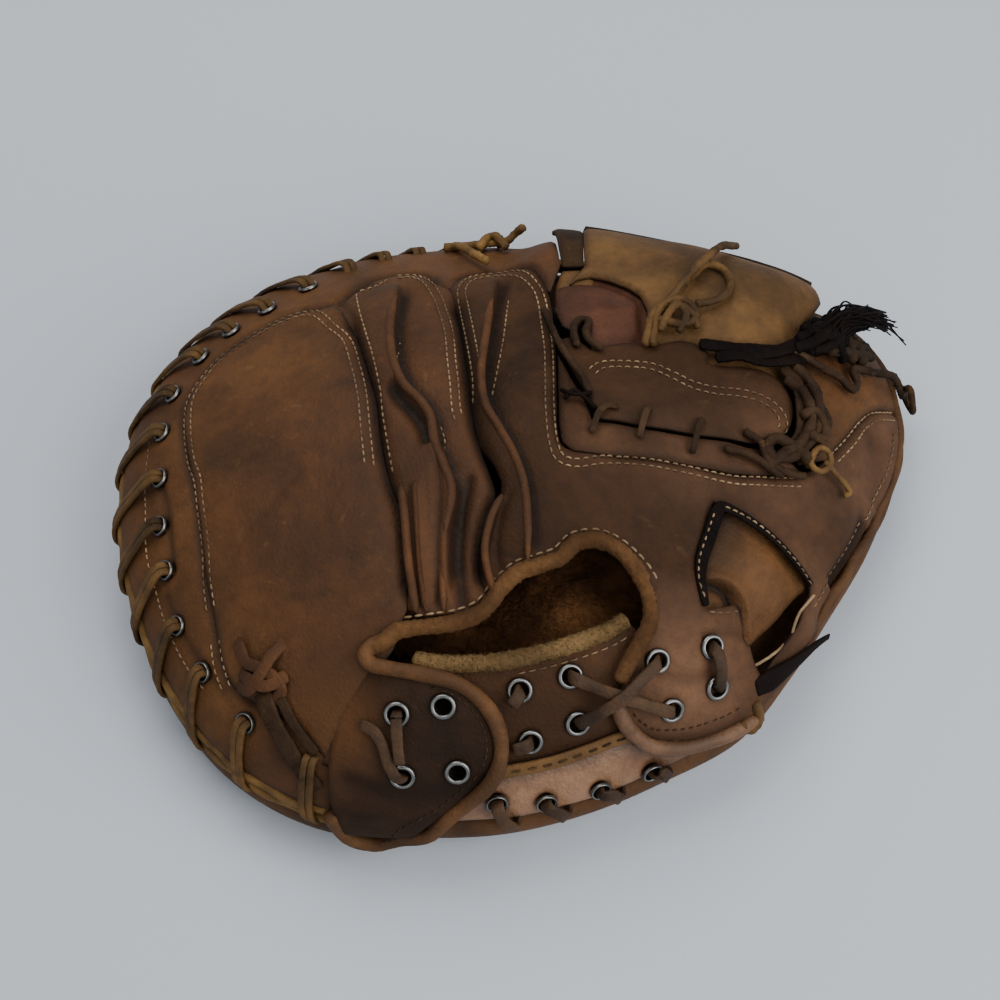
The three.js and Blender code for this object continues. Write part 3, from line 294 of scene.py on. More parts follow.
def relief(xy):
    """The lift of the leather in mm and the mask of dirt and painted shade, summed over all creases."""
    x, y = xy[:, 0], xy[:, 1]
    lift = 0.35 * np.sin(x / 7 + 1.3 * np.sin(y / 19)) * np.sin(y / 11 + 0.8 * np.sin(x / 16))
    lift += 0.5 * np.sin(x / 23 + 2) * np.sin(y / 29 + 1)
    dirt_and_shade = np.zeros(len(xy))
    for line, kind, height, width, grime_and_shade in CREASES:
        d, side, along = distance(xy, line)
        ends = smoothstep(0, 0.07, along) * smoothstep(1, 0.93, along)
        if kind == "pleat":
            signed = -d * side
            swell = smoothstep(-1.5, 1.1, signed)
            lift += height * ends * np.exp(-d / width) * (swell - 1.3 * (1 - swell))
            # The low side of a pleat gets the most: painted shade in its valley.
            dirt_and_shade = np.maximum(dirt_and_shade, grime_and_shade * ends * np.exp(-((signed + 1.6) / 2.2) ** 2))
            continue
        if kind == "dent":
            ends = smoothstep(0, 0.2, 1 - abs(2 * along - 1))
        bell = np.exp(-(d / width) ** 2) * ends
        lift += height * bell * (1 if kind == "ridge" else -1)
        # Grooves and dents darken across their width and ridges stay clean: painted shade in the hollows,
        # with some dirt.
        dirt_and_shade = np.maximum(dirt_and_shade, grime_and_shade * bell)
    return lift, dirt_and_shade


def patches(xy, spots):
    """Round, soft patches: the strongest bell at each point."""
    found = np.zeros(len(xy))
    for x, y, size, strength in spots:
        found = np.maximum(found, strength * np.exp(-((xy - (x, y)) ** 2).sum(1) / size ** 2))
    return found


print("creases:", len(CREASES))

# %% [markdown]
# ## From arrays to pieces
# Every piece ends the same way: points in plan millimetres, faces as rows of indices, a material and
# the solids that it stands for. The object stays at the origin and its place is in its mesh.
# %% One finished object
def piece(name, points, faces, materials, nodes=(), picks=None, masks=None, smooth=True):
    """Points in mm and faces (a list of index arrays, three or four wide) to one finished object."""
    groups = [np.asarray(f) for f in faces if len(f)]
    mesh = bpy.data.meshes.new(name)
    co = (np.asarray(points, float) - CENTRE) / 1000
    mesh.vertices.add(len(co))
    mesh.vertices.foreach_set("co", co.ravel())
    sizes = np.concatenate([np.full(len(f), f.shape[1]) for f in groups])
    mesh.loops.add(int(sizes.sum()))
    mesh.loops.foreach_set("vertex_index", np.concatenate([f.ravel() for f in groups]).astype(np.int32))
    mesh.polygons.add(len(sizes))
    mesh.polygons.foreach_set("loop_start", np.r_[0, np.cumsum(sizes)[:-1]].astype(np.int32))
    mesh.polygons.foreach_set("use_smooth", np.full(len(sizes), smooth))
    if picks is not None:
        mesh.polygons.foreach_set("material_index", np.asarray(picks, np.int32))
    mesh.update(calc_edges=True)
    for label, values in (masks or {}).items():
        layer = mesh.attributes.new(label, "FLOAT", "POINT")
        layer.data.foreach_set("value", np.asarray(values, np.float32))
    for material in materials:
        mesh.materials.append(material)
    obj = bpy.data.objects.new(name, mesh)
    bpy.context.scene.collection.objects.link(obj)
    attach(obj, "root")
    if nodes:
        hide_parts(*nodes)
    print(f"{name}: {len(co)} points, {len(sizes)} faces")
    return obj


def joined(shapes):
    """Several shapes as one: the later ones' indices are moved up."""
    points, faces, start = [], {3: [], 4: []}, 0
    for shape_points, shape_faces in shapes:
        for group in shape_faces:
            if len(group):
                faces[group.shape[1]].append(np.asarray(group) + start)
        points.append(shape_points)
        start += len(shape_points)
    return np.vstack(points), [np.vstack(f) for f in faces.values() if f]


def even_masks(points, dirt_and_shade):
    """Masks of a piece without worn edges: the dirt and painted shade is one value, or one for each point.
    """
    return {"dirt_and_shade": np.full(len(points), dirt_and_shade), "edge": np.zeros(len(points))}


# %% [markdown]
# ## The dome laid flat
# Leather is cut flat. Plan points are moved outwards until distances along the dome keep their length,
# so a net of equal triangles on that sheet is even on the mitt too, down its steep sides.
# %% Unrolling the dome
def inside(xy, loop):
    """Even-odd rule: count how often a ray to +X crosses the closed loop."""
    a, b = loop, np.roll(loop, -1, 0)
    y = xy[:, 1][:, None]
    spans = (a[:, 1] > y) != (b[:, 1] > y)
    rise = np.where(b[:, 1] == a[:, 1], 1e-9, b[:, 1] - a[:, 1])
    reach = a[:, 0] + (y - a[:, 1]) * (b[:, 0] - a[:, 0]) / rise
    return ((spans & (xy[:, 0][:, None] < reach)).sum(1) % 2) == 1


MEAN_RADIUS = 130      # mm, of the whole outline
RHO = np.linspace(0, 0.9999, 900)
DOME_SIDE = SHOULDER_RISE * np.sqrt(1 - RHO ** 4) + CROWN_RISE * (1 - RHO ** 2) ** 1.2
SLOPE = np.gradient(DOME_SIDE, RHO) / MEAN_RADIUS
UNROLLED = np.r_[0, np.cumsum(np.sqrt(1 + SLOPE[1:] ** 2) * np.diff(RHO))]


def unroll(xy):
    """Plan to a flat sheet where distances along the dome keep their length outwards."""
    rho = share(xy)
    return xy * (np.interp(rho, RHO, UNROLLED) / np.maximum(rho, 1e-6))[:, None]


def roll_back(uv):
    """The flat sheet back to plan."""
    reach = np.hypot(uv[:, 0], uv[:, 1]) / outline_radius(np.arctan2(uv[:, 1], uv[:, 0]))
    return uv * (np.interp(reach, UNROLLED, RHO) / np.maximum(reach, 1e-6))[:, None]


def bore(place, radius=2.9, count=16):
    """A hole that is round on the leather: its width on the sheet is stretched as the sheet is there."""
    centre = unroll(np.array([place], float))[0]
    out = centre / np.hypot(*centre)
    aside = np.array([-out[1], out[0]]) * np.hypot(*centre) / math.hypot(*place)
    turn = np.linspace(0, 2 * np.pi, count, endpoint=False)[:, None]
    return centre + radius * (np.cos(turn) * out + np.sin(turn) * aside)


print("share of the outline at the edge of the flat sheet:", UNROLLED[-1].round(3))

# %% [markdown]
# ## Cut pieces of leather
# A panel is a net of triangles in its outline. Extra rows of points follow its edges and the sharp
# creases, so the relief has something to bend. The net is lifted onto the dome as an upper skin, a
# second skin lies below it, and walls join them all round.
# %% Nets and skins
def within(xy, loops):
    """Inside the first closed loop and outside all the others."""
    keep = inside(xy, loops[0])
    for loop in loops[1:]:
        keep &= ~inside(xy, loop)
    return keep


def to_edges(xy, loops):
    """Distance to the nearest of several closed loops."""
    return np.min([distance(xy, np.vstack([loop, loop[:1]]))[0] for loop in loops], axis=0)


def even_grid(loops, step):
    """Points in rows of equal triangles, inside the loops and clear of them."""
    low, high = loops[0].min(0), loops[0].max(0)
    row_step = step * 0.866      # the height of a triangle with equal sides
    columns, rows = np.meshgrid(np.arange(low[0], high[0], step), np.arange(low[1], high[1], row_step))
    columns = columns + (np.arange(rows.shape[0]) % 2)[:, None] * step / 2
    grid = np.stack([columns.ravel(), rows.ravel()], -1)
    grid = grid[within(grid, loops)]
    return grid[to_edges(grid, loops) > 0.75 * step]


def crease_rows(loops, grid, step, aside=0.75, sharp=2.4):
    """Three rows of points along each sharp crease or pleat, and the grid without what they crowd."""
    folds = [grid[:0]]
    for line, kind, _, width, _ in CREASES:
        if kind != "pleat" and width > sharp:
            continue
        flat_line = even(unroll(line), step)
        for shift in (-aside, 0, aside):
            row = offset(flat_line, shift)
            row = row[inside(row, loops[0])]
            folds.append(row[to_edges(row, loops) > 0.8 * step])
        grid = grid[distance(grid, flat_line)[0] > aside + 0.7 * step]
    return np.vstack(folds), grid


def edge_rows(loops, step):
    """A second row of points beside each loop, on the side where the leather is."""
    rings = []
    for loop in loops:
        along = np.roll(loop, -1, 0) - np.roll(loop, 1, 0)
        along /= np.linalg.norm(along, axis=1, keepdims=True)
        for turn in (1, -1):
            ring = loop + turn * 0.38 * step * np.stack([-along[:, 1], along[:, 0]], -1)
            rings.append(ring[within(ring, loops) & (to_edges(ring, loops) > 0.33 * step)])
    return rings


def triangulated(points, loops):
    """Delaunay triangles whose edges follow the loops, without those that lie outside the leather."""
    edges, start = [], 0
    for loop in loops:
        index = np.arange(len(loop))
        edges += np.stack([start + index, start + (index + 1) % len(loop)], -1).tolist()
        start += len(loop)
    flat, _, faces, *_ = delaunay_2d_cdt([Vector(p) for p in points], edges, [], 0, 1e-5)
    uv = np.array([p[:] for p in flat])
    faces = np.array([f for f in faces if len(f) == 3])
    faces = faces[within(uv[faces].mean(1), loops)]
    used = np.unique(faces)
    place = np.full(len(uv), -1)
    place[used] = np.arange(len(used))
    uv, faces = uv[used], place[faces]
    a, b, c = uv[faces[:, 0]], uv[faces[:, 1]], uv[faces[:, 2]]
    turned = (b - a)[:, 0] * (c - a)[:, 1] - (b - a)[:, 1] * (c - a)[:, 0] < 0
    faces[turned] = faces[turned][:, ::-1]
    return uv, faces


def leather_shape(outline, holes=(), eyelets=(), step=1.25, lift=0.0, thickness=2.2, round_edge=0.7):
    """A cut piece of leather in plan, with free holes and round lace holes, as two skins and walls.
    Height is the relief plus lift, and the upper skin bends down by round_edge at the cut."""
    loops = [even(unroll(np.vstack([line, line[:1]])), step)[:-1] for line in (outline, *holes)]
    loops += [bore(place) for place in eyelets]
    folds, grid = crease_rows(loops, even_grid(loops, step), step)
    uv, faces = triangulated(np.vstack([*loops, *edge_rows(loops, step), folds, grid]), loops)
    border = to_edges(uv, loops)
    xy = roll_back(uv)
    hollow, dirt_and_shade = relief(xy)
    raised = lift(xy) if callable(lift) else lift
    top = on_back(xy, hollow + raised - round_edge * np.exp(-(border / 0.9) ** 2))
    bottom = on_back(xy, hollow + raised - thickness)
    count = len(uv)
    sides = np.vstack([faces[:, [0, 1]], faces[:, [1, 2]], faces[:, [2, 0]]])
    _, first, times = np.unique(np.sort(sides, 1), axis=0, return_index=True, return_counts=True)
    rim = sides[first[times == 1]]      # a side that only one triangle has
    walls = np.stack([rim[:, 0], rim[:, 0] + count, rim[:, 1] + count, rim[:, 1]], -1)
    # The dirt mask carries the creases and the SHADE patches. The lower skin is darkened fully: painted
    # shade under the leather.
    masks = {"edge": np.r_[np.exp(-(border / 1.6) ** 2), np.ones(count)],
             "dirt_and_shade": np.r_[np.maximum(dirt_and_shade, patches(xy, SHADE)), np.ones(count)],
             "warm": np.r_[patches(xy, WARM), np.zeros(count)]}
    picks = np.r_[np.zeros(len(faces)), np.ones(len(faces)), np.ones(len(walls))]
    return np.vstack([top, bottom]), [faces, faces[:, ::-1] + count, walls], picks, masks


print("creases that get their own rows:", sum(kind == "pleat" or width <= 2.4 for _, kind, _, width,
                                              _ in CREASES))

# %% [markdown]
# ## Tubes
# Laces, rolls and bindings are a round or flattened section carried along a path, with closed ends.
# %% Tubes
def net(rows, around):
    """Indices on a net of rows that each close on themselves: every point, and the one beside it."""
    row, col = np.meshgrid(np.arange(rows), np.arange(around), indexing="ij")
    return (row * around + col).ravel(), (row * around + (col + 1) % around).ravel()


SQUARENESS, CAP = 0.55, 0.35      # exponent of a flat section, and how far an end stands out


def tube(path, radius, sides=12, squash=None, across=None, wobble=None):
    """A section carried along a path, closed at both ends. radius may vary along the path. squash
    flattens it along the third direction, and across fixes the section's wide direction."""
    path = np.asarray(path, float)
    along = np.gradient(path, axis=0)
    along /= np.linalg.norm(along, axis=1, keepdims=True)
    if across is None:
        across = normal_like(along)
    wide = across - (across * along).sum(1, keepdims=True) * along
    wide /= np.linalg.norm(wide, axis=1, keepdims=True)
    thick = np.cross(along, wide)
    turn = np.linspace(0, 2 * np.pi, sides, endpoint=False)
    radius = np.broadcast_to(np.asarray(radius, float), (len(path),))
    c, s = np.cos(turn), np.sin(turn)
    if squash is not None:
        c, s = (np.sign(v) * np.abs(v) ** SQUARENESS for v in (c, s))      # a rounded rectangle
        s = s * squash
    size = radius[:, None] * (1 if wobble is None else wobble)
    ring = path[:, None] + (size * c)[..., None] * wide[:, None] + (size * s)[..., None] * thick[:, None]
    points = np.vstack([ring.reshape(-1, 3), path[:1] - along[:1] * radius[0] * CAP,
                        path[-1:] + along[-1:] * radius[-1] * CAP])
    a, b = net(len(path) - 1, sides)
    quads = np.stack([a, b, b + sides, a + sides], -1)
    k = np.arange(sides)
    last = (len(path) - 1) * sides
    head = np.stack([np.full(sides, len(points) - 2), (k + 1) % sides, k], -1)
    tail = np.stack([np.full(sides, len(points) - 1), last + k, last + (k + 1) % sides], -1)
    return points, [quads, np.vstack([head, tail])]


def normal_like(along):
    """A sideways direction carried along a path without twisting: each step drops what runs along."""
    start = np.cross(along[0], [0.31, 0.2, 0.93])
    frames = [start / np.linalg.norm(start)]
    for direction in along[1:]:
        side = frames[-1] - np.dot(frames[-1], direction) * direction
        frames.append(side / np.linalg.norm(side))
    return np.array(frames)


tube_points, _ = tube([(0, 0, 0), (5, 0, 0), (10, 0, 2)], 2)
print("points of a short tube:", len(tube_points))

# %% [markdown]
# ## Finishes
# Leather gets its look from layers: a slow mottle of two browns, warm patches and pale scuffs over it,
# and dirt with painted shade where the masks say that seams and edges are. Pores and wrinkles make the
# height of its bump.
# They are one node group, which every leather uses with its own colours. Wool pile has a second one.
# %% Shader groups
def socket(tree, name, kind, default=None, out=False):
    """An input of a node group, or an output."""
    item = tree.interface.new_socket(name, in_out="OUTPUT" if out else "INPUT", socket_type=kind)
    if default is not None:
        item.default_value = default
    return item


def node(tree, kind, **values):
    """A node with its properties and unlinked inputs set by name."""
    made = tree.nodes.new(kind)
    for key, value in values.items():
        if hasattr(made, key):
            setattr(made, key, value)
        else:
            made.inputs[key.replace("_", " ")].default_value = value
    return made


def mix_colour(tree, factor, a, b, blend="MIX"):
    """Two colours mixed by a factor. Each of the three is a value or another node's output."""
    made = node(tree, "ShaderNodeMix", data_type="RGBA", blend_type=blend)
    for place, source in ((0, factor), (6, a), (7, b)):
        if isinstance(source, (int, float, tuple)):
            made.inputs[place].default_value = source
        else:
            tree.links.new(source, made.inputs[place])
    return made.outputs[2]


def maths(tree, operation, a, b=0.5, clamp=False):
    """One operation on two numbers. Each is a value or another node's output."""
    made = node(tree, "ShaderNodeMath", operation=operation, use_clamp=clamp)
    for place, source in ((0, a), (1, b)):
        if isinstance(source, (int, float)):
            made.inputs[place].default_value = source
        else:
            tree.links.new(source, made.inputs[place])
    return made.outputs[0]


def leather_group():
    """Mottle, scuffs, pores and wrinkles, as a colour, a roughness and a height."""
    tree = bpy.data.node_groups.new("worn_leather", "ShaderNodeTree")
    for name, kind, value in (("Dark", "NodeSocketColor", (0.05, 0.02, 0.01, 1)),
                              ("Light", "NodeSocketColor", (0.2, 0.1, 0.05, 1)),
                              ("Dirt and shade colour", "NodeSocketColor", (0.012, 0.008, 0.006, 1)),
                              ("Edge colour", "NodeSocketColor", (0.05, 0.03, 0.02, 1)),
                              ("Warm colour", "NodeSocketColor", (0.15, 0.06, 0.02, 1)),
                              ("Scuff colour", "NodeSocketColor", (0.25, 0.15, 0.08, 1)),
                              ("Warm", "NodeSocketFloat", 0.0),
                              ("Mottle scale", "NodeSocketFloat", 22.0), ("Dirt and shade", "NodeSocketFloat", 0.0),
                              ("Edge", "NodeSocketFloat", 0.0), ("Wrinkle", "NodeSocketFloat", 0.5),
                              ("Gloss", "NodeSocketFloat", 0.5)):
        socket(tree, name, kind, value)
    socket(tree, "Colour", "NodeSocketColor", out=True)
    socket(tree, "Roughness", "NodeSocketFloat", out=True)
    socket(tree, "Height", "NodeSocketFloat", out=True)
    into, out = node(tree, "NodeGroupInput"), node(tree, "NodeGroupOutput")
    place = node(tree, "ShaderNodeTexCoord").outputs["Object"]

    def noise(scale, detail=4.0, rough=0.6, distortion=0.0):
        """A noise texture. Its scale is a number or another node's output."""
        made = node(tree, "ShaderNodeTexNoise", Detail=detail, Roughness=rough, Distortion=distortion)
        tree.links.new(place, made.inputs["Vector"])
        if isinstance(scale, float):
            made.inputs["Scale"].default_value = scale
        else:
            tree.links.new(scale, made.inputs["Scale"])
        return made.outputs["Fac"]

    mottle = noise(into.outputs["Mottle scale"], 6.0, 0.62, 0.4)
    spots = noise(170.0, 7.0, 0.75)
    scuffs = node(tree, "ShaderNodeMapRange", From_Min=0.6, From_Max=0.74)
    tree.links.new(noise(48.0, 8.0, 0.72, 2.2), scuffs.inputs["Value"])
    pores = node(tree, "ShaderNodeTexVoronoi", Scale=820.0)
    tree.links.new(place, pores.inputs["Vector"])
    wrinkles = noise(95.0, 3.0, 0.55, 1.6)
    folds = maths(tree, "ABSOLUTE", maths(tree, "SUBTRACT", wrinkles, 0.5))
    spread = node(tree, "ShaderNodeMapRange", From_Min=0.36, From_Max=0.64)
    tree.links.new(mottle, spread.inputs["Value"])
    colour = mix_colour(tree, spread.outputs[0], into.outputs["Dark"], into.outputs["Light"])
    glow = maths(tree, "MULTIPLY", into.outputs["Warm"], maths(tree, "ADD", mottle, 0.35), clamp=True)
    colour = mix_colour(tree, glow, colour, into.outputs["Warm colour"])
    scuffed = maths(tree, "MULTIPLY", scuffs.outputs[0], 0.3)
    colour = mix_colour(tree, scuffed, colour, into.outputs["Scuff colour"])
    fine = maths(tree, "ADD", maths(tree, "MULTIPLY", spots, 1.3), 0.35)
    grey = node(tree, "ShaderNodeCombineColor")
    for channel in ("Red", "Green", "Blue"):
        tree.links.new(fine, grey.inputs[channel])
    colour = mix_colour(tree, 1.0, colour, grey.outputs[0], "MULTIPLY")
    worn = maths(tree, "MULTIPLY", into.outputs["Edge"], noise(60.0, 4.0, 0.7), clamp=True)
    colour = mix_colour(tree, worn, colour, into.outputs["Edge colour"])
    # The dirt and shade mask darkens the colour: real grime, and painted shade in creases, hollows,
    # undersides and the inside.
    soiled_and_shaded = maths(tree, "MULTIPLY", into.outputs["Dirt and shade"], maths(tree, "ADD", spots, 0.45), clamp=True)
    colour = mix_colour(tree, soiled_and_shaded, colour, into.outputs["Dirt and shade colour"])
    tree.links.new(colour, out.inputs["Colour"])
    gloss = maths(tree, "SUBTRACT", 0.86, maths(tree, "MULTIPLY", into.outputs["Gloss"], 0.5))
    uneven = maths(tree, "MULTIPLY", maths(tree, "SUBTRACT", spots, 0.5), 0.35)
    rough = maths(tree, "ADD", gloss, uneven, clamp=True)
    tree.links.new(rough, out.inputs["Roughness"])
    grain = maths(tree, "MULTIPLY", pores.outputs["Distance"], 0.22)
    crease = maths(tree, "MULTIPLY", folds, into.outputs["Wrinkle"])
    height = maths(tree, "ADD", maths(tree, "ADD", grain, crease), maths(tree, "MULTIPLY", spots, 0.3))
    tree.links.new(height, out.inputs["Height"])
    return tree


LEATHER_LOOK = leather_group()


def srgb(text):
    """A hex colour as linear values."""
    value = np.array([int(text[k:k + 2], 16) for k in (0, 2, 4)]) / 255
    linear = np.where(value <= 0.04045, value / 12.92, ((value + 0.055) / 1.055) ** 2.4)
    return (*linear.tolist(), 1.0)


def new_material(name):
    """A material with its node tree and its Principled shader."""
    material = bpy.data.materials.new(name)
    material.use_nodes = True
    return material, material.node_tree, material.node_tree.nodes["Principled BSDF"]


def leather(name, dark, light, gloss=0.35, wrinkle=0.5, warm="613f1e", scuff="8a6238", mottle=22.0,
            shine=0.2):
    """One leather: the group's colour, roughness and height into a Principled shader."""
    material, tree, shader = new_material(name)
    group = node(tree, "ShaderNodeGroup", node_tree=LEATHER_LOOK)
    for label, value in (("Dark", srgb(dark)), ("Light", srgb(light)), ("Dirt and shade colour", srgb("150c06")),
                         ("Edge colour", srgb("2c1c10")), ("Warm colour", srgb(warm)),
                         ("Scuff colour", srgb(scuff)), ("Mottle scale", mottle), ("Wrinkle", wrinkle),
                         ("Gloss", gloss)):
        group.inputs[label].default_value = value
    for label, mask in (("Dirt and shade", "dirt_and_shade"), ("Edge", "edge"), ("Warm", "warm")):
        reader = node(tree, "ShaderNodeAttribute", attribute_name=mask)
        tree.links.new(reader.outputs["Fac"], group.inputs[label])
    relief_node = node(tree, "ShaderNodeBump", Strength=0.5, Distance=0.0016)
    tree.links.new(group.outputs["Height"], relief_node.inputs["Height"])
    tree.links.new(group.outputs["Colour"], shader.inputs["Base Color"])
    tree.links.new(group.outputs["Roughness"], shader.inputs["Roughness"])
    tree.links.new(relief_node.outputs["Normal"], shader.inputs["Normal"])
    shader.inputs["Specular IOR Level"].default_value = shine
    return material


def fleece_group():
    """Matted wool pile: clumps of two colours and a coarse, broken height."""
    tree = bpy.data.node_groups.new("wool_pile", "ShaderNodeTree")
    for name, kind, value in (("Dark", "NodeSocketColor", (0.03, 0.02, 0.01, 1)),
                              ("Light", "NodeSocketColor", (0.3, 0.2, 0.1, 1)),
                              ("Dirt and shade", "NodeSocketFloat", 0.0)):
        socket(tree, name, kind, value)
    socket(tree, "Colour", "NodeSocketColor", out=True)
    socket(tree, "Height", "NodeSocketFloat", out=True)
    into, out = node(tree, "NodeGroupInput"), node(tree, "NodeGroupOutput")
    place = node(tree, "ShaderNodeTexCoord").outputs["Object"]
    clumps = node(tree, "ShaderNodeTexNoise", Scale=240.0, Detail=6.0, Roughness=0.7, Distortion=0.8)
    fibres = node(tree, "ShaderNodeTexNoise", Scale=1300.0, Detail=3.0, Roughness=0.8)
    areas = node(tree, "ShaderNodeTexNoise", Scale=45.0, Detail=3.0)
    for made in (clumps, fibres, areas):
        tree.links.new(place, made.inputs["Vector"])
    spread = node(tree, "ShaderNodeMapRange", From_Min=0.3, From_Max=0.7)
    blend = maths(tree, "ADD", maths(tree, "MULTIPLY", clumps.outputs["Fac"], 0.6),
                  maths(tree, "MULTIPLY", areas.outputs["Fac"], 0.4))
    tree.links.new(blend, spread.inputs["Value"])
    colour = mix_colour(tree, spread.outputs[0], into.outputs["Dark"], into.outputs["Light"])
    caught = maths(tree, "ADD", clumps.outputs["Fac"], 0.4)
    # The dirt and shade mask darkens the pile: real grime, and painted shade deep in the opening.
    soiled_and_shaded = maths(tree, "MULTIPLY", into.outputs["Dirt and shade"], caught, clamp=True)
    colour = mix_colour(tree, soiled_and_shaded, colour, srgb("120b08"))
    tree.links.new(colour, out.inputs["Colour"])
    height = maths(tree, "ADD", clumps.outputs["Fac"], maths(tree, "MULTIPLY", fibres.outputs["Fac"], 0.6))
    tree.links.new(height, out.inputs["Height"])
    return tree


FLEECE_LOOK = fleece_group()


def fleece(name, dark, light):
    """One wool or suede: the pile group's colour and height into a rough shader."""
    material, tree, shader = new_material(name)
    group = node(tree, "ShaderNodeGroup", node_tree=FLEECE_LOOK)
    group.inputs["Dark"].default_value = srgb(dark)
    group.inputs["Light"].default_value = srgb(light)
    reader = node(tree, "ShaderNodeAttribute", attribute_name="dirt_and_shade")
    tree.links.new(reader.outputs["Fac"], group.inputs["Dirt and shade"])
    relief_node = node(tree, "ShaderNodeBump", Strength=0.8, Distance=0.0015)
    tree.links.new(group.outputs["Height"], relief_node.inputs["Height"])
    tree.links.new(group.outputs["Colour"], shader.inputs["Base Color"])
    tree.links.new(relief_node.outputs["Normal"], shader.inputs["Normal"])
    shader.inputs["Roughness"].default_value = 0.95
    shader.inputs["Specular IOR Level"].default_value = 0.1
    return material


def metal(name, colour, rough):
    """Dull plated metal with fine scratches in its roughness."""
    material, tree, shader = new_material(name)
    place = node(tree, "ShaderNodeTexCoord").outputs["Object"]
    scratch = node(tree, "ShaderNodeTexNoise", Scale=900.0, Detail=5.0)
    tree.links.new(place, scratch.inputs["Vector"])
    wear = node(tree, "ShaderNodeMapRange", To_Min=rough - 0.1, To_Max=rough + 0.15)
    tree.links.new(scratch.outputs["Fac"], wear.inputs["Value"])
    tree.links.new(wear.outputs[0], shader.inputs["Roughness"])
    darker = (*(0.75 * c for c in srgb(colour)[:3]), 1.0)
    shade = mix_colour(tree, scratch.outputs["Fac"], darker, srgb(colour))
    tree.links.new(shade, shader.inputs["Base Color"])
    shader.inputs["Metallic"].default_value = 1.0
    return material


BACK = leather("back_leather", "372210", "56351c")
WORN = leather("rubbed_leather", "29190c", "432a16", warm="6e4e38", scuff="6e5034", shine=0.14)
DARK = leather("dark_leather", "20140c", "372518", warm="6b4628", scuff="5a4430", shine=0.12)
TAN = leather("tan_leather", "3d2815", "614023", wrinkle=0.8)
OLIVE = leather("web_leather", "48321a", "70502b", warm="7d5423")
STRAP_TAN = leather("strap_leather", "4a3220", "705038", 0.6, 0.7, shine=0.3)
HEEL = leather("heel_leather", "5c3c27", "8e684a", 0.8, 1.3, mottle=35.0, shine=0.45)
PURPLE = leather("flap_leather", "321b11", "533222", 0.5, 0.4, scuff="6a4530", shine=0.16)
LACE = leather("lace_leather", "38260f", "674a26", wrinkle=0.9, mottle=60.0)
DARK_LACE = leather("dark_lace", "261910", "443120", wrinkle=0.9, mottle=60.0, shine=0.1)
PALE_LACE = leather("golden_lace", "553c1f", "846334", wrinkle=0.9, mottle=70.0)
BROWN_LACE = leather("brown_lace", "2f2013", "533b26", 0.5, 0.9, mottle=60.0, scuff="7c6450")
BLACK = leather("black_leather", "070403", "140c09", 0.45, 0.8, mottle=80.0, scuff="2c201b", shine=0.06)
CUT = leather("cut_edge", "20140a", "36250f", 0.1, 0.4, mottle=90.0)
THREAD = leather("thread", "6f583e", "a88c6a", 0.3, 0.2, mottle=120.0, scuff="bca584")
DARK_THREAD = leather("dark_thread", "24180c", "4e371c", 0.3, 0.2, mottle=120.0)
ROLL_WOOL = fleece("roll_wool", "4a3822", "886c46")
ROLL_SUEDE = fleece("roll_suede", "4a3220", "725030")
LINING_WOOL = fleece("lining_wool", "3a2414", "7e5532")
STEEL = metal("eyelet_metal", "7d7d7a", 0.3)
print("materials:", len(bpy.data.materials))

# %% [markdown]
# ## The palm
# The palm is one padded ring of leather round the ball pocket, and the mitt rests on it. Its side view
# is a single curve, so it is swept round the outline. Radial creases show where the padding gathers.
# %% Palm pad
# Share of the outline and height in mm, from the top's middle down to the table and up to the pocket's
PALM_PROFILE = np.array([(0, 42), (0.6, 38), (0.73, 35), (0.8, 27), (0.86, 19.2), (0.985, 18.4), (1, 15.5),
                         (1, 11), (0.98, 5.5), (0.94, 1.5), (0.895, 0), (0.8, 0), (0.73, 3), (0.62, 12),
                         (0.48, 20), (0, 27)], float)
PALM_TOP, POCKET_TOP = PALM_PROFILE[0, 1], PALM_PROFILE[-1, 1]
SMALLEST, FLAT_ROWS = 0.02, 24      # share of the first ring, and the rings between it and the curve
HIDDEN_ROWS = 34                    # rings that lie inside the mitt


def swept_palm(around=220):
    """The profile (share, height) turned round the outline: x, y = share * radius, z = height.
    Sine waves round it gather the padding below and let it sag."""
    scale = [MEAN_RADIUS, 1]
    inner = even(spline(PALM_PROFILE[1:-1] * scale, 6), 2.2) / scale
    profile = np.vstack([np.linspace([SMALLEST, PALM_TOP], inner[0], FLAT_ROWS)[:-1], inner,
                         np.linspace(inner[-1], [SMALLEST, POCKET_TOP], FLAT_ROWS)[1:]])
    angle = np.linspace(0, 2 * np.pi, around, endpoint=False)
    rho, z = profile[:, :1], profile[:, 1:]
    under = smoothstep(14, 4, z) * smoothstep(0.3, 0.6, rho)
    gathers = 0.55 * np.sin(angle * 34 + 2.2 * np.sin(angle * 5)) * under * smoothstep(0.99, 0.8, rho)
    slack = 0.5 * np.sin(angle * 9 + rho * 14) * smoothstep(0.2, 0.5, rho) * under
    height = np.maximum(z + gathers + slack, 0)
    radius = rho * outline_radius(angle)
    points = np.stack([radius * np.cos(angle), radius * np.sin(angle), height + 0 * radius], -1)
    points = points.reshape(-1, 3)
    a, b = net(len(profile) - 1, around)
    quads = np.stack([a, a + around, b + around, b], -1)
    k = np.arange(around)
    last = (len(profile) - 1) * around
    top = np.stack([np.full(around, len(points)), k, (k + 1) % around], -1)
    end = np.stack([np.full(around, len(points) + 1), last + (k + 1) % around, last + k], -1)
    points = np.vstack([points, [0, 0, PALM_TOP], [0, 0, POCKET_TOP]])
    inner_side = np.repeat(np.arange(len(profile)) < HIDDEN_ROWS, around)
    # Rings inside the mitt are darkened: painted shade in the hollow under the back. The outside gets a
    # little dirt.
    dirt_and_shade = np.r_[np.where(inner_side, 0.9, 0.15), 0.9, 0.3]
    return points, [quads, np.vstack([top, end])], dirt_and_shade


palm_points, palm_faces, palm_dirt_and_shade = swept_palm()
palm = piece("palm", palm_points, palm_faces, [TAN], ["palm_pad"],
             masks=even_masks(palm_points, palm_dirt_and_shade))

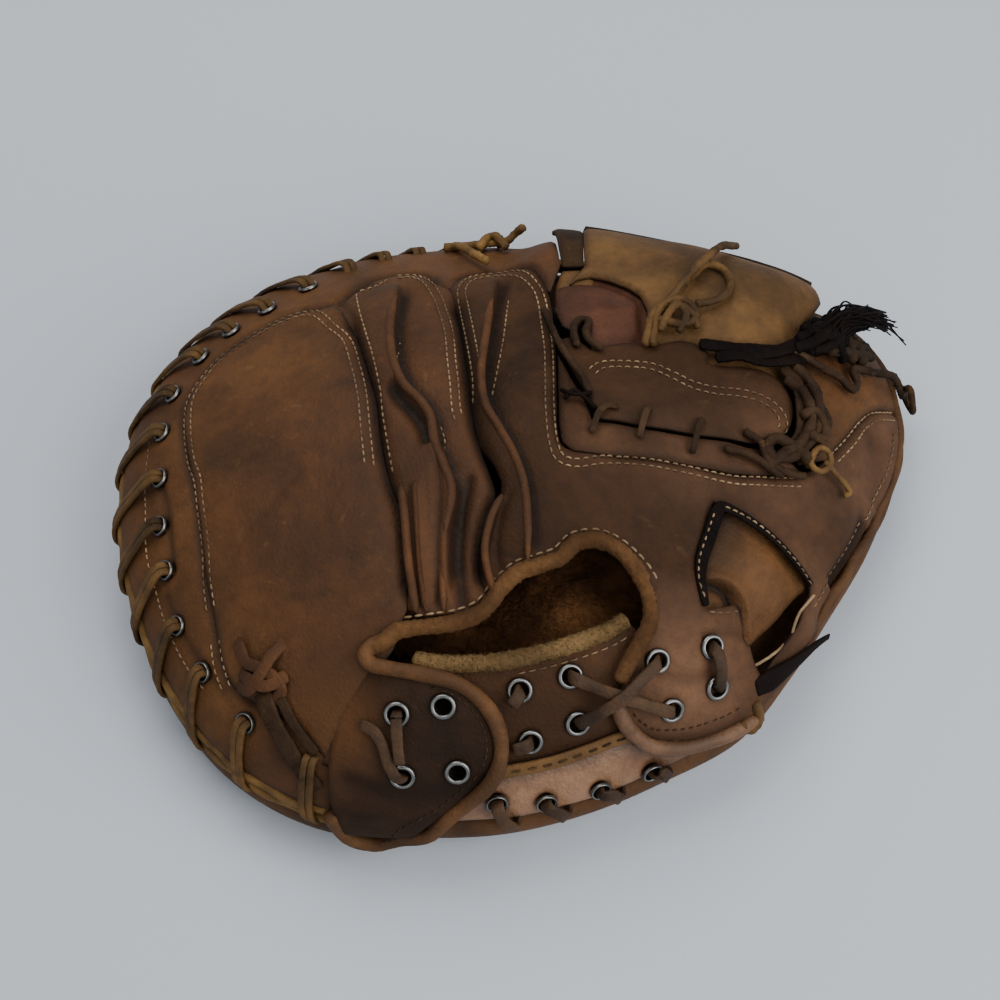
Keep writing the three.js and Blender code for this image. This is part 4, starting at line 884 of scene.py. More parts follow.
# %% [markdown]
# ## The back leather
# The back is sewn from separate pieces, which meet at the seams. Each is cut from the same dome, so its
# edge follows its neighbour's, and each has two skins with a darker cut edge between them.
# %% Panels of the back
RIM_EYELETS = [(-77, 88), (-92, 78.5), (-105, 70), (-116, 60), (-125, 44), (-127, 26), (-126, 6),
               (-124.5, -13),
               (-121, -30), (-116, -50), (-106, -67.5), (-90, -86)]
HEEL_EYELETS = [(-6, -110.6), (10.5, -109), (28.8, -103.8), (46.5, -96.6)]
TAB_EYELETS = [(-38.5, -89), (-37, -104), (-23.5, -87), (-19, -103)]
CENTRE_EYELETS = [(1.5, -83), (18, -78), (5, -96), (20.5, -90)]
STRAP_EYELETS = [(46, -70), (51, -81.5), (64, -63.5), (66, -73.5)]
PANEL, GAP = 3, 0.3      # mm: the height of one layer of leather, and the gap below the next


def strap_lift(xy):
    """The hand panel rises over the heel piece at its lower right."""
    return 3.3 * smoothstep(-36, -49, xy[:, 1]) * smoothstep(12, 25, xy[:, 0])


def at_share(xy, rho):
    """Plan points moved in or out to a share of the outline."""
    return xy * (rho / share(xy))[:, None]


def panel(name, outline, eyelets=(), material=None, slot="back_leather", nodes=(), wall=None, **how):
    """A panel from the curves that bound it, as one piece with its cut edge in a second leather."""
    points, faces, picks, masks = leather_shape(np.vstack(outline), eyelets=eyelets, **how)
    return piece(name, points, faces, [material or BACK, wall or CUT], nodes, picks, masks)


def plan(rows):
    """The plan curve of a table of points, with or without their lifts."""
    return curve(np.array(rows, float)[:, :2], 1.5)


finger_line, middle_line = plan(FINGER_GROOVE), plan(MIDDLE_GROOVE)
panel_line, ring_line, arch_line = plan(PANEL_SEAM), plan(RING_ARCH), plan(MIDDLE_ARCH)
web_line, thumb_line, heel_line = plan(WEB_BORDER), plan(THUMB_SEAM), plan(HEEL_SEAM)
opening_line, centre_line, strap_line = plan(OPENING_ROLL), plan(CENTRE_ROLL), plan(STRAP_ROLL)

FINGER_JOINT, ARCH_JOINT = [(-65.3, 69.3)], [(-24, 77.5)]   # where three panels meet

panel("finger_back", [panel_line, FINGER_JOINT, finger_line, [(-40, -72), (-47, -80), (-56, -90)]],
      nodes=["little_finger_panel"], lift=0.5)
panel("ring_back", [finger_line[::-1], FINGER_JOINT, ring_line, ARCH_JOINT, middle_line,
                    [(-12, -59.5), (-20, -62), (-30, -62.5)]],
      material=BACK, slot="worn_leather", nodes=["ring_finger_panel", "finger_welt"])
SLIT = [(-10.4, -4.6), (-6.9, -10.4), (-4.4, -17), (-4.9, -22)]
upper = middle_line[middle_line[:, 1] > -3]
lower = middle_line[middle_line[:, 1] < -23]
opening_back = opening_line[(np.arange(len(opening_line)) > 22) & (opening_line[:, 1] > -53)][::-1]
panel("hand_back", [lower[::-1], SLIT[::-1], upper[::-1], ARCH_JOINT, arch_line, web_line, thumb_line,
                    rim_arc(18, -41.5), strap_line[::-1], [(33.5, -80), (36, -72), (40, -66), (44, -58)],
                    opening_back],
      STRAP_EYELETS, WORN, "worn_leather", ["hand_panel", "middle_welt"],
      lift=strap_lift, holes=[plan([*VENT, VENT[0]])[:-1]])
panel("thumb_back", [[(100, 4)], thumb_line, rim_arc(18.5, 36),
                     [(112, 74), (105, 58), (104, 44), (104.5, 34), (102.5, 26), (100, 17)]],
      material=BACK, nodes=["thumb_panel"])


def rim_lift(xy):
    """The rim's leather thickens towards its bound edge, most of all at the finger tips."""
    tips = np.exp(-((xy[:, 0] + 14) / 42) ** 2) * smoothstep(0.8, 0.93, share(xy)) * (xy[:, 1] > 0)
    return 0.9 * smoothstep(0.9, 0.975, share(xy)) + 2.4 * tips - 0.1


panel("rim_leather", [rim_arc(83, 241.5), [(-58.5, -103.4), (-64, -101.2)], panel_line, FINGER_JOINT,
                      ring_line, ARCH_JOINT, arch_line[arch_line[:, 1] > 72.5], [(13, 72), (14.4, 76),
                                                                                 (17, 85)]],
      RIM_EYELETS, nodes=["rim_band"], lift=rim_lift)
panel("heel_leather_back", [heel_line, [(80, -69), (70, -66), (56, -66), (47, -65.5), (42, -64)],
                            centre_line[::-1], [(-28, -76.5), (-41, -77), (-56, -86), (-62, -94)]],
      [*TAB_EYELETS, *CENTRE_EYELETS], WORN, nodes=["heel_piece"])
heel_top = heel_line[heel_line[:, 0] > -57]
heel_foot = at_share(heel_top, 0.9985)
panel("heel_strip", [heel_top, heel_foot[::-1]], HEEL_EYELETS, HEEL, "heel_leather", ["heel_band"],
      lift=-0.3)

# %% [markdown]
# The stalls of the fingers are folded where the hand bends. Each fold's free edge is a soft rib, thick
# in the middle and thin at both ends, half sunk in the leather.
# %% Folded lips and ribs
# Route, radius, lift, and how fast the ends swell
RIBS = [([(-38, -18), (-36.5, -30), (-35, -45), (-32.5, -61)], 1.5, 0.1, 1.4),
        ([(-33.4, -17), (-32.2, -30), (-31, -45), (-29, -61)], 1.4, 0.0, 1.3),
        ([(-4.4, -23), (-8, -31), (-10, -42), (-8, -52), (-5.6, -57)], 1.3, 0.2, 1.2),
        ([(-24, -14), (-23.4, -26), (-24, -42), (-23.4, -61)], 1.2, 0.0, 1.1)]


def lip(rows, radius, lift, ends):
    """A soft rib: a tube half sunk in the leather, thinner at both ends."""
    rows = curve(np.array(rows, float), 1.0)
    part = np.linspace(0, 1, len(rows))
    size = radius * (0.45 + 0.55 * np.clip(np.minimum(part, 1 - part) * ends * 12, 0, 1))
    return tube(on_back(rows, lift), size, 12)


fold_edges = [(offset(curve(RING_FOLD[1:-1], 2.0), -1.0), 1.6, 1.5, 1.0),
              (offset(curve(MIDDLE_FOLD[1:], 2.0), -1.0), 1.5, 1.2, 1.0)]
lip_points, lip_faces = joined([lip(*row) for row in RIBS + fold_edges])
piece("stall_folds", lip_points, lip_faces, [BACK],
      masks=even_masks(lip_points, patches(lip_points[:, :2], SHADE)))

# %% [markdown]
# ## The web and the thumb
# A high band spans from the finger tips to the thumb, with its free edge curled up. A soft flap and a
# laced panel fill the space below it, and the thumb's sleeve shows through a vent in the back.
# %% Web and thumb
BAND_CORNER = [(26, 84)]
BAND_FOOT = [(111, 74.5), (104, 58), (103, 46.5), (100, 40), (97, 33), (85, 31), (70, 31), (60, 38),
             (50, 38),
             (46, 42), (48, 54), (48, 63), (45.5, 69), (40.5, 73.5), (34, 77), (28, 78.6), (23, 77.6),
             (20, 75)]
BACK_PANEL = [(15.6, 44.5), (20, 45.4), (24.8, 41.5), (27.2, 39.2), (30.1, 41), (35.5, 43), (42.6, 44.4),
              (49.7, 43.8), (54.4, 45.4), (59.8, 46.4), (65.7, 44.6), (68.8, 41.4), (67.8, 37.4),
              (72.4, 36.6),
              (79.7, 37), (85.9, 37.4), (90.7, 36.6), (95, 34), (97.8, 29), (98.4, 23), (96.4, 16),
              (92.5, 11),
              (87, 8), (82.3, 6.9), (73.6, 6.8), (63.6, 6.2), (53.1, 6.5), (42.7, 6.9), (34.2, 8.2),
              (28.6, 8.8),
              (27.3, 12.4), (25, 18.6), (21.4, 26.4), (18.2, 34.6)]
LOWER_STRIP = [(15.3, 38), (15.2, 20), (15.2, 6), (16.2, -1.5), (19.5, -4.8), (30, -5.6), (45, -5.2),
               (60, -5.2),
               (75, -5.6), (86, -3.7), (95, -0.7), (101, 1.6), (97, 4), (91, 4.4), (84, 5.4), (80.7, 5),
               (73.5, 5.6), (63.6, 5), (53, 5.2), (42.7, 5.7), (34.1, 6.9), (26.4, 7.2), (25.4, 12),
               (22.8, 18.6),
               (19.3, 26.2), (16.6, 34)]
FLAP = [(15, 62), (15, 74), (18, 82), (38, 82), (47, 76), (50.5, 60), (50, 42), (38, 40), (29, 41),
        (27, 47), (24.6, 58), (21, 51),
        (17.5, 53.5)]
WEB_END = [(17.8, 85), (16.4, 98), (15, 108), (19, 112), (25.7, 112.3), (25.7, 84.6)]
GUSSET = [(15.2, 74), (15.2, 77), (17.4, 84), (25, 84), (29, 80), (29, 73)]
SLEEVE = [(112, -30), (106, -24), (95, -16), (84, -13), (76, -14), (71.6, -24), (67, -35), (63.6, -44),
          (60, -50),
          (58, -56), (66, -60), (77, -64), (84, -58), (90, -51.5), (96, -44), (103, -36.5)]


def crest_lift(xy):
    """The web's band curls up towards its free edge."""
    return 7 * smoothstep(0.72, 0.915, share(xy)) - 1.9 * smoothstep(50, 46, xy[:, 1])


def flap_lift(xy):
    """The flap is a soft pillow: its middle rises between the edges that lie below the band and patch."""
    below_band = 77.6 - 0.022 * (xy[:, 0] - 24) ** 2 - xy[:, 1]
    rise = smoothstep(0.4, 4, below_band) * smoothstep(46, 43, xy[:, 0]) * smoothstep(46, 51, xy[:, 1])
    return -3.6 + 2.9 * rise


def sleeve_lift(xy):
    """The thumb's sleeve swells up into the vent from below the back."""
    reach = np.hypot(xy[:, 0] - 84, xy[:, 1] + 39) / 12
    return -3.8 + 3.4 * np.exp(-reach ** 4)


panel("web_strap", [BAND_CORNER, rim_arc(76.5, 37.5, 0.915), BAND_FOOT], material=OLIVE,
      slot="olive_leather", nodes=["web_band"], wall=OLIVE, lift=crest_lift, thickness=3, round_edge=1.3)
panel("web_inner_flap", [FLAP], material=PURPLE, slot="purple_leather", nodes=["web_flap"], lift=flap_lift,
      thickness=2)
panel("web_end", [WEB_END],
      material=CUT, slot="olive_leather", lift=lambda xy: crest_lift(xy) - 1, thickness=2)
panel("web_gusset", [GUSSET], material=OLIVE, slot="olive_leather", lift=-2.6, thickness=0.9)
crest_points, crest_faces = tube(on_back(rim_arc(76.2, 38, 0.922), 6.3), 2.2, 10)
piece("web_crest", crest_points, crest_faces, [CUT], masks=even_masks(crest_points, 0.4))
panel("web_patch", [plan([*BACK_PANEL, BACK_PANEL[0]])[:-1]], material=WORN, slot="worn_leather",
      nodes=["web_back_panel"], lift=0.7)
panel("web_strip", [LOWER_STRIP], material=WORN, slot="worn_leather", nodes=["web_lower_strip"])
panel("sleeve", [SLEEVE], material=TAN, slot="tan_leather", nodes=["thumb_sleeve"], lift=sleeve_lift,
      thickness=2)


def tab_lift(xy):
    """The tab lies over the heel piece, and grows out of the back leather at its upper left."""
    root = smoothstep(14, 0, distance(xy, TAB_ROOT)[0])
    return (PANEL + GAP) * (1 - root) + 1.1 * smoothstep(0.9, 0.97, share(xy)) + 0.3 * root


TAB_ROOT = np.array([(-51, -76), (-56, -84), (-60, -92)], float)
TAB_MIDDLE = np.array([-34, -97])


def shrunk_tab(rows, part):
    """The tab's own line drawn in towards its middle."""
    return TAB_MIDDLE + (rows - TAB_MIDDLE) * part


tab_line = plan([*TAB, TAB[0]])[:-1]
panel("tab", [shrunk_tab(tab_line, 0.95)], TAB_EYELETS, DARK, nodes=["left_tab"], lift=tab_lift)

# %% [markdown]
# ## Rolled edges
# The hand opening is bound with fuzzy rolls, the tab and the strap with smooth leather ones. Each is a
# tube whose surface is broken by noise. The rim is bound with two strands, one above the other.
# %% Rolls and bindings
OPENING_RADIUS, CENTRE_RADIUS, EDGE_RADIUS = 2.75, 2.9, 2.6


def path_of(rows):
    """Rows of plan place and lift as an even path over the back."""
    return even(spline(on_back(rows[:, :2], rows[:, 2])), 0.8)


def roll(name, rows, radius, materials, nodes, sides=20, rough=0.07):
    """A soft roll: a tube whose radius varies with random noise and with a slow sine along it."""
    path = path_of(np.array(rows))
    wobble = 1 + rough * rng.standard_normal((len(path), sides))
    wobble += 0.05 * np.sin(np.arange(len(path)) / 5)[:, None]
    points, faces = tube(path, radius, sides, wobble=wobble)
    dirt_and_shade = np.clip(0.25 + 0.5 * np.sin(np.arange(len(path)) / 9 + radius), 0, 1)
    dirt_and_shade = np.r_[np.repeat(dirt_and_shade, sides), 0.5, 0.5]
    piece(name, points, faces, materials, nodes, masks=even_masks(points, dirt_and_shade * 0.5))
    return path


LEFT_TURN = [(-43, -69.4, 1.5), (-46.4, -70.4, 1.7), (-48.4, -72.8, 2), (-46.8, -75.4, 2.4)]
opening_path = roll("opening_roll", [(-46.8, -70.8, 1.5), *OPENING_ROLL], OPENING_RADIUS, [ROLL_SUEDE],
                    ["opening_binding"])
centre_path = roll("centre_roll", [(-33, -75.2, -1.2), (-26, -76.2, -1), *CENTRE_ROLL], CENTRE_RADIUS,
                   [ROLL_WOOL], ["centre_binding"])
TAB_ROLL = [*LEFT_TURN, (-41, -76.9, 3), *[(x, y, 3.1) for x, y in TAB[2:15]]]
roll("tab_roll", TAB_ROLL, EDGE_RADIUS, [TAN], ["tab_binding"], rough=0.015)
roll("strap_roll", STRAP_ROLL, EDGE_RADIUS, [STRAP_TAN], ["strap_binding"], rough=0.015)


def strip(xy, lift, radius, sides, squash):
    """A flat band on the leather: its wide side is square to its run and to the leather's normal."""
    path = on_back(xy, lift)
    side = np.cross(np.gradient(path, axis=0), normal_at(xy))
    return tube(path, radius, sides, squash, side)


piping_rows = even(offset(heel_line, 0.9), 1.2)[:-10]
piping_rows = piping_rows[piping_rows[:, 0] > -7]   # the tab covers its left end
piping_points, piping_faces = strip(piping_rows, 1.0, 2.3, 14, 0.42)
piece("heel_piping", piping_points, piping_faces, [OLIVE],
      masks=even_masks(piping_points, 0.2))


def rim_point(angle, inset, z):
    """Points round the outline, moved in from it, at a height above the table."""
    radius = outline_radius(angle) - inset
    return np.stack([radius * np.cos(angle), radius * np.sin(angle), z + 0 * angle], -1)


BOUND_FROM, BOUND_TO = -37, 242      # degrees round the outline, by way of the finger tips
THUMB_END = 1.0                      # radians: here the finger side's pale leather starts
binding_angle = np.radians(np.linspace(BOUND_FROM, BOUND_TO, 430))


def rim_strands(name, angle, material, nodes):
    """The bound edge is two soft strands, one above the other."""
    sway = 0.35 * np.sin(angle * 41)
    points, faces = joined([tube(rim_point(angle, 1.9 + sway, 26.2 + sway), 1.9, 14),
                            tube(rim_point(angle, 1.3 - sway, 22.3 - sway), 1.9, 14)])
    piece(name, points, faces, [material], nodes, masks=even_masks(points, 0.25))


rim_strands("rim_roll", binding_angle[binding_angle > THUMB_END], PALE_LACE, ["rim_binding"])
rim_strands("thumb_rim_roll", binding_angle[binding_angle < THUMB_END + 0.05], TAN, ["rim_binding"])

# Plan place and width of the vent's flat binding. The width also takes in the shadow beside it, so part of
# this black is painted shade.
VENT_BINDING = np.array([(61.6, -52.4, 2.6), (60.4, -46, 3.6), (61.6, -40, 4.6), (65, -30, 5.2),
                         (68.4, -20.6, 4.8),
                         (70, -18.6, 3.8), (73, -18.8, 3.2), (80, -20.8, 3), (91, -25.4, 2.6),
                         (103, -33, 2.2)])
vent_rows = curve(VENT_BINDING, 1.0)
vent_points, vent_faces = strip(vent_rows[:, :2], 0.9 + strap_lift(vent_rows[:, :2]), vent_rows[:, 2] / 2,
                                16, 0.32)
piece("vent_edge", vent_points, vent_faces, [BLACK], ["vent_binding"],
      masks=even_masks(vent_points, 0.0))

# %% [markdown]
# ## The lining
# Through the hand opening the wool lining shows, worn brown and matted, and it swells up towards
# the back where the fingers leave it.
# %% Hand lining
def floor_height(xy):
    """The palm's upper side, straight between the rows of its profile."""
    return np.interp(share(xy), PALM_PROFILE[:6, 0], PALM_PROFILE[:6, 1])


LINING_RINGS, LINING_AROUND = 52, 150
LINING_MIDDLE, LINING_REACH = (4, -43), (54, 32)      # mm, of the oval that it covers


def lining(rings, around):
    """An oval of wool on the palm: a bell-shaped swell, roughened by noise and crossed sine waves."""
    rho = np.linspace(SMALLEST, 1, rings)[:, None]
    angle = np.linspace(0, 2 * np.pi, around, endpoint=False)
    x = LINING_MIDDLE[0] + rho * LINING_REACH[0] * np.cos(angle)
    y = LINING_MIDDLE[1] + rho * LINING_REACH[1] * np.sin(angle)
    xy = np.stack([x, y], -1).reshape(-1, 2)
    floor = floor_height(xy).reshape(x.shape) + 1
    reach = np.hypot(x - 14, y + 50) / 24
    swell = (3 + 14 * np.exp(-reach ** 2)) * (1 - 0.6 * rho ** 6)
    matted = 0.35 * rng.standard_normal(x.shape) + 0.9 * np.sin(x / 3.1 + np.sin(y / 4)) * np.sin(y / 3.7)
    top = np.stack([x, y, floor + np.maximum(swell + matted, 0.4)], -1).reshape(-1, 3)
    low = np.stack([x, y, floor], -1).reshape(-1, 3)
    a, b = net(rings - 1, around)
    upper_side = np.stack([a, a + around, b + around, b], -1)
    count, k = rings * around, np.arange(around)
    lower_side = upper_side[:, ::-1] + count
    rim = (rings - 1) * around + k
    beside = (rings - 1) * around + (k + 1) % around
    wall = np.stack([rim, rim + count, beside + count, beside], -1)
    caps = np.vstack([np.stack([np.full(around, 2 * count), k, (k + 1) % around], -1),
                      np.stack([np.full(around, 2 * count + 1), (k + 1) % around + count, k + count], -1)])
    points = np.vstack([top, low, top[:around].mean(0), low[:around].mean(0)])
    stains_and_shade = np.clip(0.4 + 0.7 * np.sin(points[:, 0] / 6 + 1) * np.sin(points[:, 1] / 5), 0, 1)
    # Lower down, deep in the opening, the wool is darkened over its stains: painted shade.
    stains_and_shade = np.maximum(stains_and_shade * 0.55, 0.8 * smoothstep(50, 40, points[:, 2]))
    return points, [upper_side, lower_side, wall, caps], stains_and_shade


lining_points, lining_faces, lining_dirt_and_shade = lining(LINING_RINGS, LINING_AROUND)
piece("wool_lining", lining_points, lining_faces, [LINING_WOOL], ["hand_lining"],
      masks={"dirt_and_shade": lining_dirt_and_shade})

# %% [markdown]
# ## Eyelets
# Each lace hole has a pressed metal ring. One ring is turned from its section and set on every hole,
# square to the leather there.
# %% Eyelet rings
def frame_at(xy):
    """Two directions in the leather and its normal, for every plan point."""
    normal = normal_at(xy)
    side = np.cross(np.tile([0.0, 1.0, 0.0], (len(normal), 1)), normal)
    side /= np.linalg.norm(side, axis=1, keepdims=True)
    return side, np.cross(normal, side), normal


def eyelet_ring(place, lift, outer, around=28):
    """The section (radius, height) turned round the hole's own normal. outer is the ring's radius."""
    section = np.array([(2.75, -1.6), (2.8, 0.2), (3.05, 0.7), (3.5, 0.85), (outer - 0.6, 0.6),
                        (outer - 0.35, 0.05), (outer - 0.4, -0.4), (3.3, -0.5)])
    turn = np.linspace(0, 2 * np.pi, around, endpoint=False)
    r, h = section[:, :1], section[:, 1:]
    xy = np.array([place], float)
    u, v, n = frame_at(xy)
    base = on_back(xy, relief(xy)[0] * 0.5 + lift + (0.35 + GAP))
    points = base + (r * np.cos(turn))[..., None] * u + (r * np.sin(turn))[..., None] * v
    points = points + (h + 0 * turn)[..., None] * n
    a, b = net(len(section), around)
    total = len(section) * around
    up, far = (a + around) % total, (b + around) % total
    return points.reshape(-1, 3), [np.stack([a, up, far, b], -1)[:, ::-1]]


# Name, holes, lift of their leather and radius of their rings
EYELET_ROWS = [("rim", RIM_EYELETS, 0, 4.2), ("heel", HEEL_EYELETS, 0, 4.2), ("tab", TAB_EYELETS, 3.3, 4.7),
               ("centre", CENTRE_EYELETS, 0, 4.7), ("strap", STRAP_EYELETS, 3.3, 4.7)]
for label, places, lift, outer in EYELET_ROWS:
    shape_points, shape_faces = joined([eyelet_ring(place, lift, outer) for place in places])
    piece(f"{label}_eyelets", shape_points, shape_faces, [STEEL],
          [f"{label}_eyelet_{k + 1}" for k in range(len(places))])

# %% [markdown]
# ## Laces
# The laces are strips of rawhide. The long one lies double and whips over the rim from hole to hole,
# and the others whip the heel and tie the strap and the tab. Each is a ribbon whose width varies a little.
# %% Rim, strap and tab laces
def ribbon(points, across, width, thickness, sides=12, step=0.9):
    """A flat lace: the section is a rounded rectangle that keeps its wide side to the leather."""
    both = even(spline(np.hstack([points, across]), 8), step)
    path, side = both[:, :3], both[:, 3:]
    wobble = 1 + 0.05 * np.sin(np.arange(len(path)) * 0.35)[:, None]
    wobble = wobble + 0.03 * rng.standard_normal((len(path), sides))
    return tube(path, width / 2, sides, thickness / width, side, wobble)


def lace_piece(name, shapes, nodes=(), material=None, dirt_and_shade=0.25):
    """Several laces as one piece, with grime in soft spots from crossed sine waves."""
    points, faces = joined(shapes)
    grime_and_shade = dirt_and_shade + 0.25 * np.sin(points[:, 0] / 9) * np.sin(points[:, 1] / 7)
    return piece(name, points, faces, [material or LACE], nodes, masks=even_masks(points, grime_and_shade))


# A wrap past the back's edge: part of the step to the next hole, inset from the outline and height
OVER_RIM = [(0.32, 0.2, 29.4), (0.42, -1.5, 25.5), (0.5, -0.9, 21.6), (0.56, 3.4, 20.1), (0.66, 9, 21.4)]
OVER_HEEL = [(0.16, -2.3, 27.4), (0.27, -2.9, 24), (0.35, -2.2, 20.8), (0.4, 0.6, 19.7), (0.44, 4, 20.6)]


def over_edge(place, step, over):
    """One wrap: up out of its hole and over the bound edge. step is the angle to the next hole."""
    angle = math.atan2(place[1], place[0])
    here = np.array([place], float)
    rows = [on_back(here, -5)[0], on_back(here, 3.1)[0]]
    if over is OVER_RIM:
        ahead = np.array([angle + 0.18 * step])
        inset = (1 - share(here)[0]) * 0.45 * outline_radius(ahead)
        rows.append(on_back(rim_point(ahead, inset, 0)[:, :2], 2.6)[0])
    above = len(rows)
    rows += [rim_point(np.array([angle + part * step]), inset, z)[0] for part, inset, z in over]
    facing = [normal_at(here)[0]] * above
    facing += [row - rim_point(np.array([angle]), 5, 24.5)[0] for row in rows[above:]]
    before, after = (rim_point(np.array([angle + turn]), 0, 0)[0] for turn in (-0.02, 0.02))
    side = after - before
    return np.array(rows), np.array(facing), np.tile(side / np.linalg.norm(side), (len(rows), 1))


def steps(eyelets, last):
    """The angle from each hole to the next, and the last one's own."""
    angles = np.array([math.atan2(y, x) for x, y in eyelets])
    return [*(np.diff(angles) % (2 * math.pi)), last]


LACE_THICKNESS = 1.7


def whip(eyelets, last=0.14):
    """A doubled lace: out of each hole, over the edge, back below it and on to the next hole."""
    wraps = [over_edge(place, step, OVER_RIM) for place, step in zip(eyelets, steps(eyelets, last))]
    points, _, across = (np.vstack(rows) for rows in zip(*wraps))
    return [ribbon(points + shift * across, across, 2.5, LACE_THICKNESS) for shift in (-1.3, 1.3)]


def heel_whip(eyelets, last=0.14):
    """The heel's wraps, of which only the outer part shows. Each is one ribbon square to its own run."""
    shapes = []
    for place, step in zip(eyelets, steps(eyelets, last)):
        points, facing, side = over_edge(place, step, OVER_HEEL)
        turned = np.cross(np.gradient(points, axis=0), facing)
        turned /= np.linalg.norm(turned, axis=1, keepdims=True)
        turned *= np.sign((turned * side).sum(1, keepdims=True))
        turned[0] = side[0]
        shapes.append(ribbon(points, turned, 4.6, LACE_THICKNESS))
    return shapes


lace_piece("rim_whipping", whip(RIM_EYELETS), ["rim_lace"])
lace_piece("heel_whipping", heel_whip(HEEL_EYELETS), ["heel_lace"], BROWN_LACE)
FAR_WRAPS = [(-22, 112.5), (-36, 110), (-49, 105.5), (-62, 98.6)]      # their holes are hidden
TAB_WRAP = [(-67, -99)]                                                # beside the tab
lace_piece("far_whipping", whip(FAR_WRAPS) + whip(TAB_WRAP, 0.1))

# Plan place and lift. Between two holes a lace runs under the leather.
UNDER = -6
STRAP_LACE = [(-1.4, -86.4, 3), (0.6, -84.4, 2.8), (1.5, -83, 1), (1.5, -83, -3), (5, -82, UNDER),
              (15, -79, UNDER),
              (18, -78, -3), (18, -78, 1), (19.5, -78.4, 3), (25, -79.6, 3.8), (31.5, -80.4, 7.4),
              (38, -81, 7),
              (45, -81.6, 5.8), (49.6, -81.6, 6.2), (51, -81.5, 4.2), (51, -81.5, -3), (55, -79.4, UNDER),
              (62, -75.6, UNDER), (66, -73.5, -3), (66, -73.5, 4.2), (65.8, -71.6, 6.6), (64.4, -65.6, 7.6),
              (64, -63.5, 4.2), (64, -63.5, -3), (60, -65, UNDER), (50, -69, UNDER), (46, -70, -3),
              (46, -70, 4.2),
              (44.6, -71, 6.4), (39, -75, 8.6), (32, -80.6, 10), (26.5, -85, 7), (22, -88.6, 3.2),
              (20.5, -90, 1),
              (20.5, -90, -3), (17, -91.6, UNDER), (9, -94.8, UNDER), (5, -96, -3), (5, -96, 1),
              (3.4, -96.4, 2.9),
              (-0.6, -97.6, 2.5)]
TAB_LACE = [(-49.5, -91, 4.6), (-45.5, -93, 4.8), (-43, -96.5, 5), (-41.4, -100.4, 5.4), (-39, -103.2, 6.5),
            (-37, -104, 4.4), (-37, -104, -3), (-37.4, -100, UNDER), (-38.2, -93, UNDER), (-38.5, -89, -3),
            (-38.5, -89, 4.4), (-38.4, -91, 6.6), (-38.1, -95.5, 6.9), (-37.6, -100, 7.6)]


def on_surface(rows, width, thickness):
    """A lace laid on the leather: its wide direction is square to its run and to the leather's normal."""
    rows = np.asarray(rows, float)
    points = on_back(rows[:, :2], rows[:, 2])
    sides = []
    for i, (x, y, _) in enumerate(rows):
        before, after = i, i
        while before > 0 and math.hypot(*(rows[before, :2] - (x, y))) < 1:
            before -= 1
        while after < len(rows) - 1 and math.hypot(*(rows[after, :2] - (x, y))) < 1:
            after += 1
        sides.append(np.cross(points[after] - points[before], normal_at([[x, y]])[0]))
    sides = np.array(sides)
    sides /= np.linalg.norm(sides, axis=1, keepdims=True)
    return ribbon(points, sides, width, thickness)


lace_piece("strap_lacing", [on_surface(STRAP_LACE, 4.4, LACE_THICKNESS)], ["strap_lace"], BROWN_LACE)
lace_piece("tab_lacing", [on_surface(TAB_LACE, 3.8, 1.5)], ["tab_lace"], BROWN_LACE)

# %% [markdown]
# The web, the thumb and the finger tips are tied with rounder laces in loose knots. Their routes are
# lists of plan place and lift: where one strand crosses another, its lift is greater.
# %% Knots and ties
def cord(rows, radius, shift=(0, 0, 0), sides=10):
    """A round lace through rows of plan place and lift."""
    path = path_of(np.asarray(rows, float) + shift)
    wobble = 1 + 0.07 * rng.standard_normal((len(path), sides))
    wobble = wobble + 0.06 * np.sin(np.arange(len(path)) * 0.5)[:, None]
    return tube(path, radius, sides, wobble=wobble)


WEB_KNOT = [[(45.6, 41, 2.4), (46.8, 46, 3), (48.3, 53.6, 3.2), (52.2, 59.6, 3.4), (56.6, 63.2, 3.6),
             (63.7, 73, 3.4),
             (70.1, 80, 3.4), (75, 78.6, 3.2), (77.8, 71, 3), (76, 65.6, 3), (70.9, 62.6, 3.2),
             (65.1, 61, 3.6)],
            [(48.4, 41, 2.6), (49.4, 48.4, 3), (51, 55.3, 3.6), (55.1, 61.1, 4.4), (60.4, 69, 5),
             (67.5, 77, 6.4),
             (74, 85, 8.6), (81, 93, 11)],
            [(50, 54, 3), (53.5, 59.6, 4.6), (59, 61.6, 5.4), (63.1, 59, 5), (64.6, 54.6, 4.4),
             (60.8, 50.6, 4.4),
             (55.5, 50.4, 4.6), (51.3, 52.4, 4)],
            [(51.4, 47.9, 2.8), (54, 53, 5.8), (57, 57.4, 6.6), (62.5, 55.6, 5.4), (65, 50.5, 2.8)],
            [(54.6, 62.2, 3), (58, 58.6, 6.4), (60.6, 53.6, 6.2), (58, 47.8, 2.8)]]
FLAP_LOOPS = [[(10.6, 58.4, 1.6), (11, 55, 3), (12.2, 50.1, 3), (14.8, 41.7, 2.8), (18.6, 32.7, 2.6),
               (23, 24.2, 2.6),
               (25.4, 17.6, 2)],
              [(21.8, 38.8, 2.6), (20.8, 43.5, 3.2), (21.6, 51.7, 1), (24, 56.2, -0.6), (26.4, 55.6, -0.4),
               (25.6, 49, 1.6), (25, 45, 3), (26.4, 40.6, 3.2), (30.4, 37.8, 2.4)]]
TUFT = [[(16, 18.4, 1.4), (19, 15.6, 3), (23, 15.8, 2.6), (26, 17.6, 1.6)],
        [(17, 14.8, 1.2), (20, 16.8, 3.2), (24, 14.4, 2.2), (27.6, 10.8, 1.2)]]
SLIT_STRANDS = [[(35, 12.6, 1), (31.6, 12.4, 2), (28.6, 9.4, 2.4), (26.8, 4.7, 2), (25.8, 1.8, 0.8)],
                [(46, 13.6, 0.8), (44.8, 11.6, 2), (43.8, 8.7, 2.4), (42.6, 3.9, 1.8), (42.2, 1.6, 0.6)],
                [(64.6, 11.6, 0.8), (63, 9.1, 2), (61.6, 4.5, 2.2), (60.4, -0.4, 1.6), (60.2, -1.8, 0.6)]]
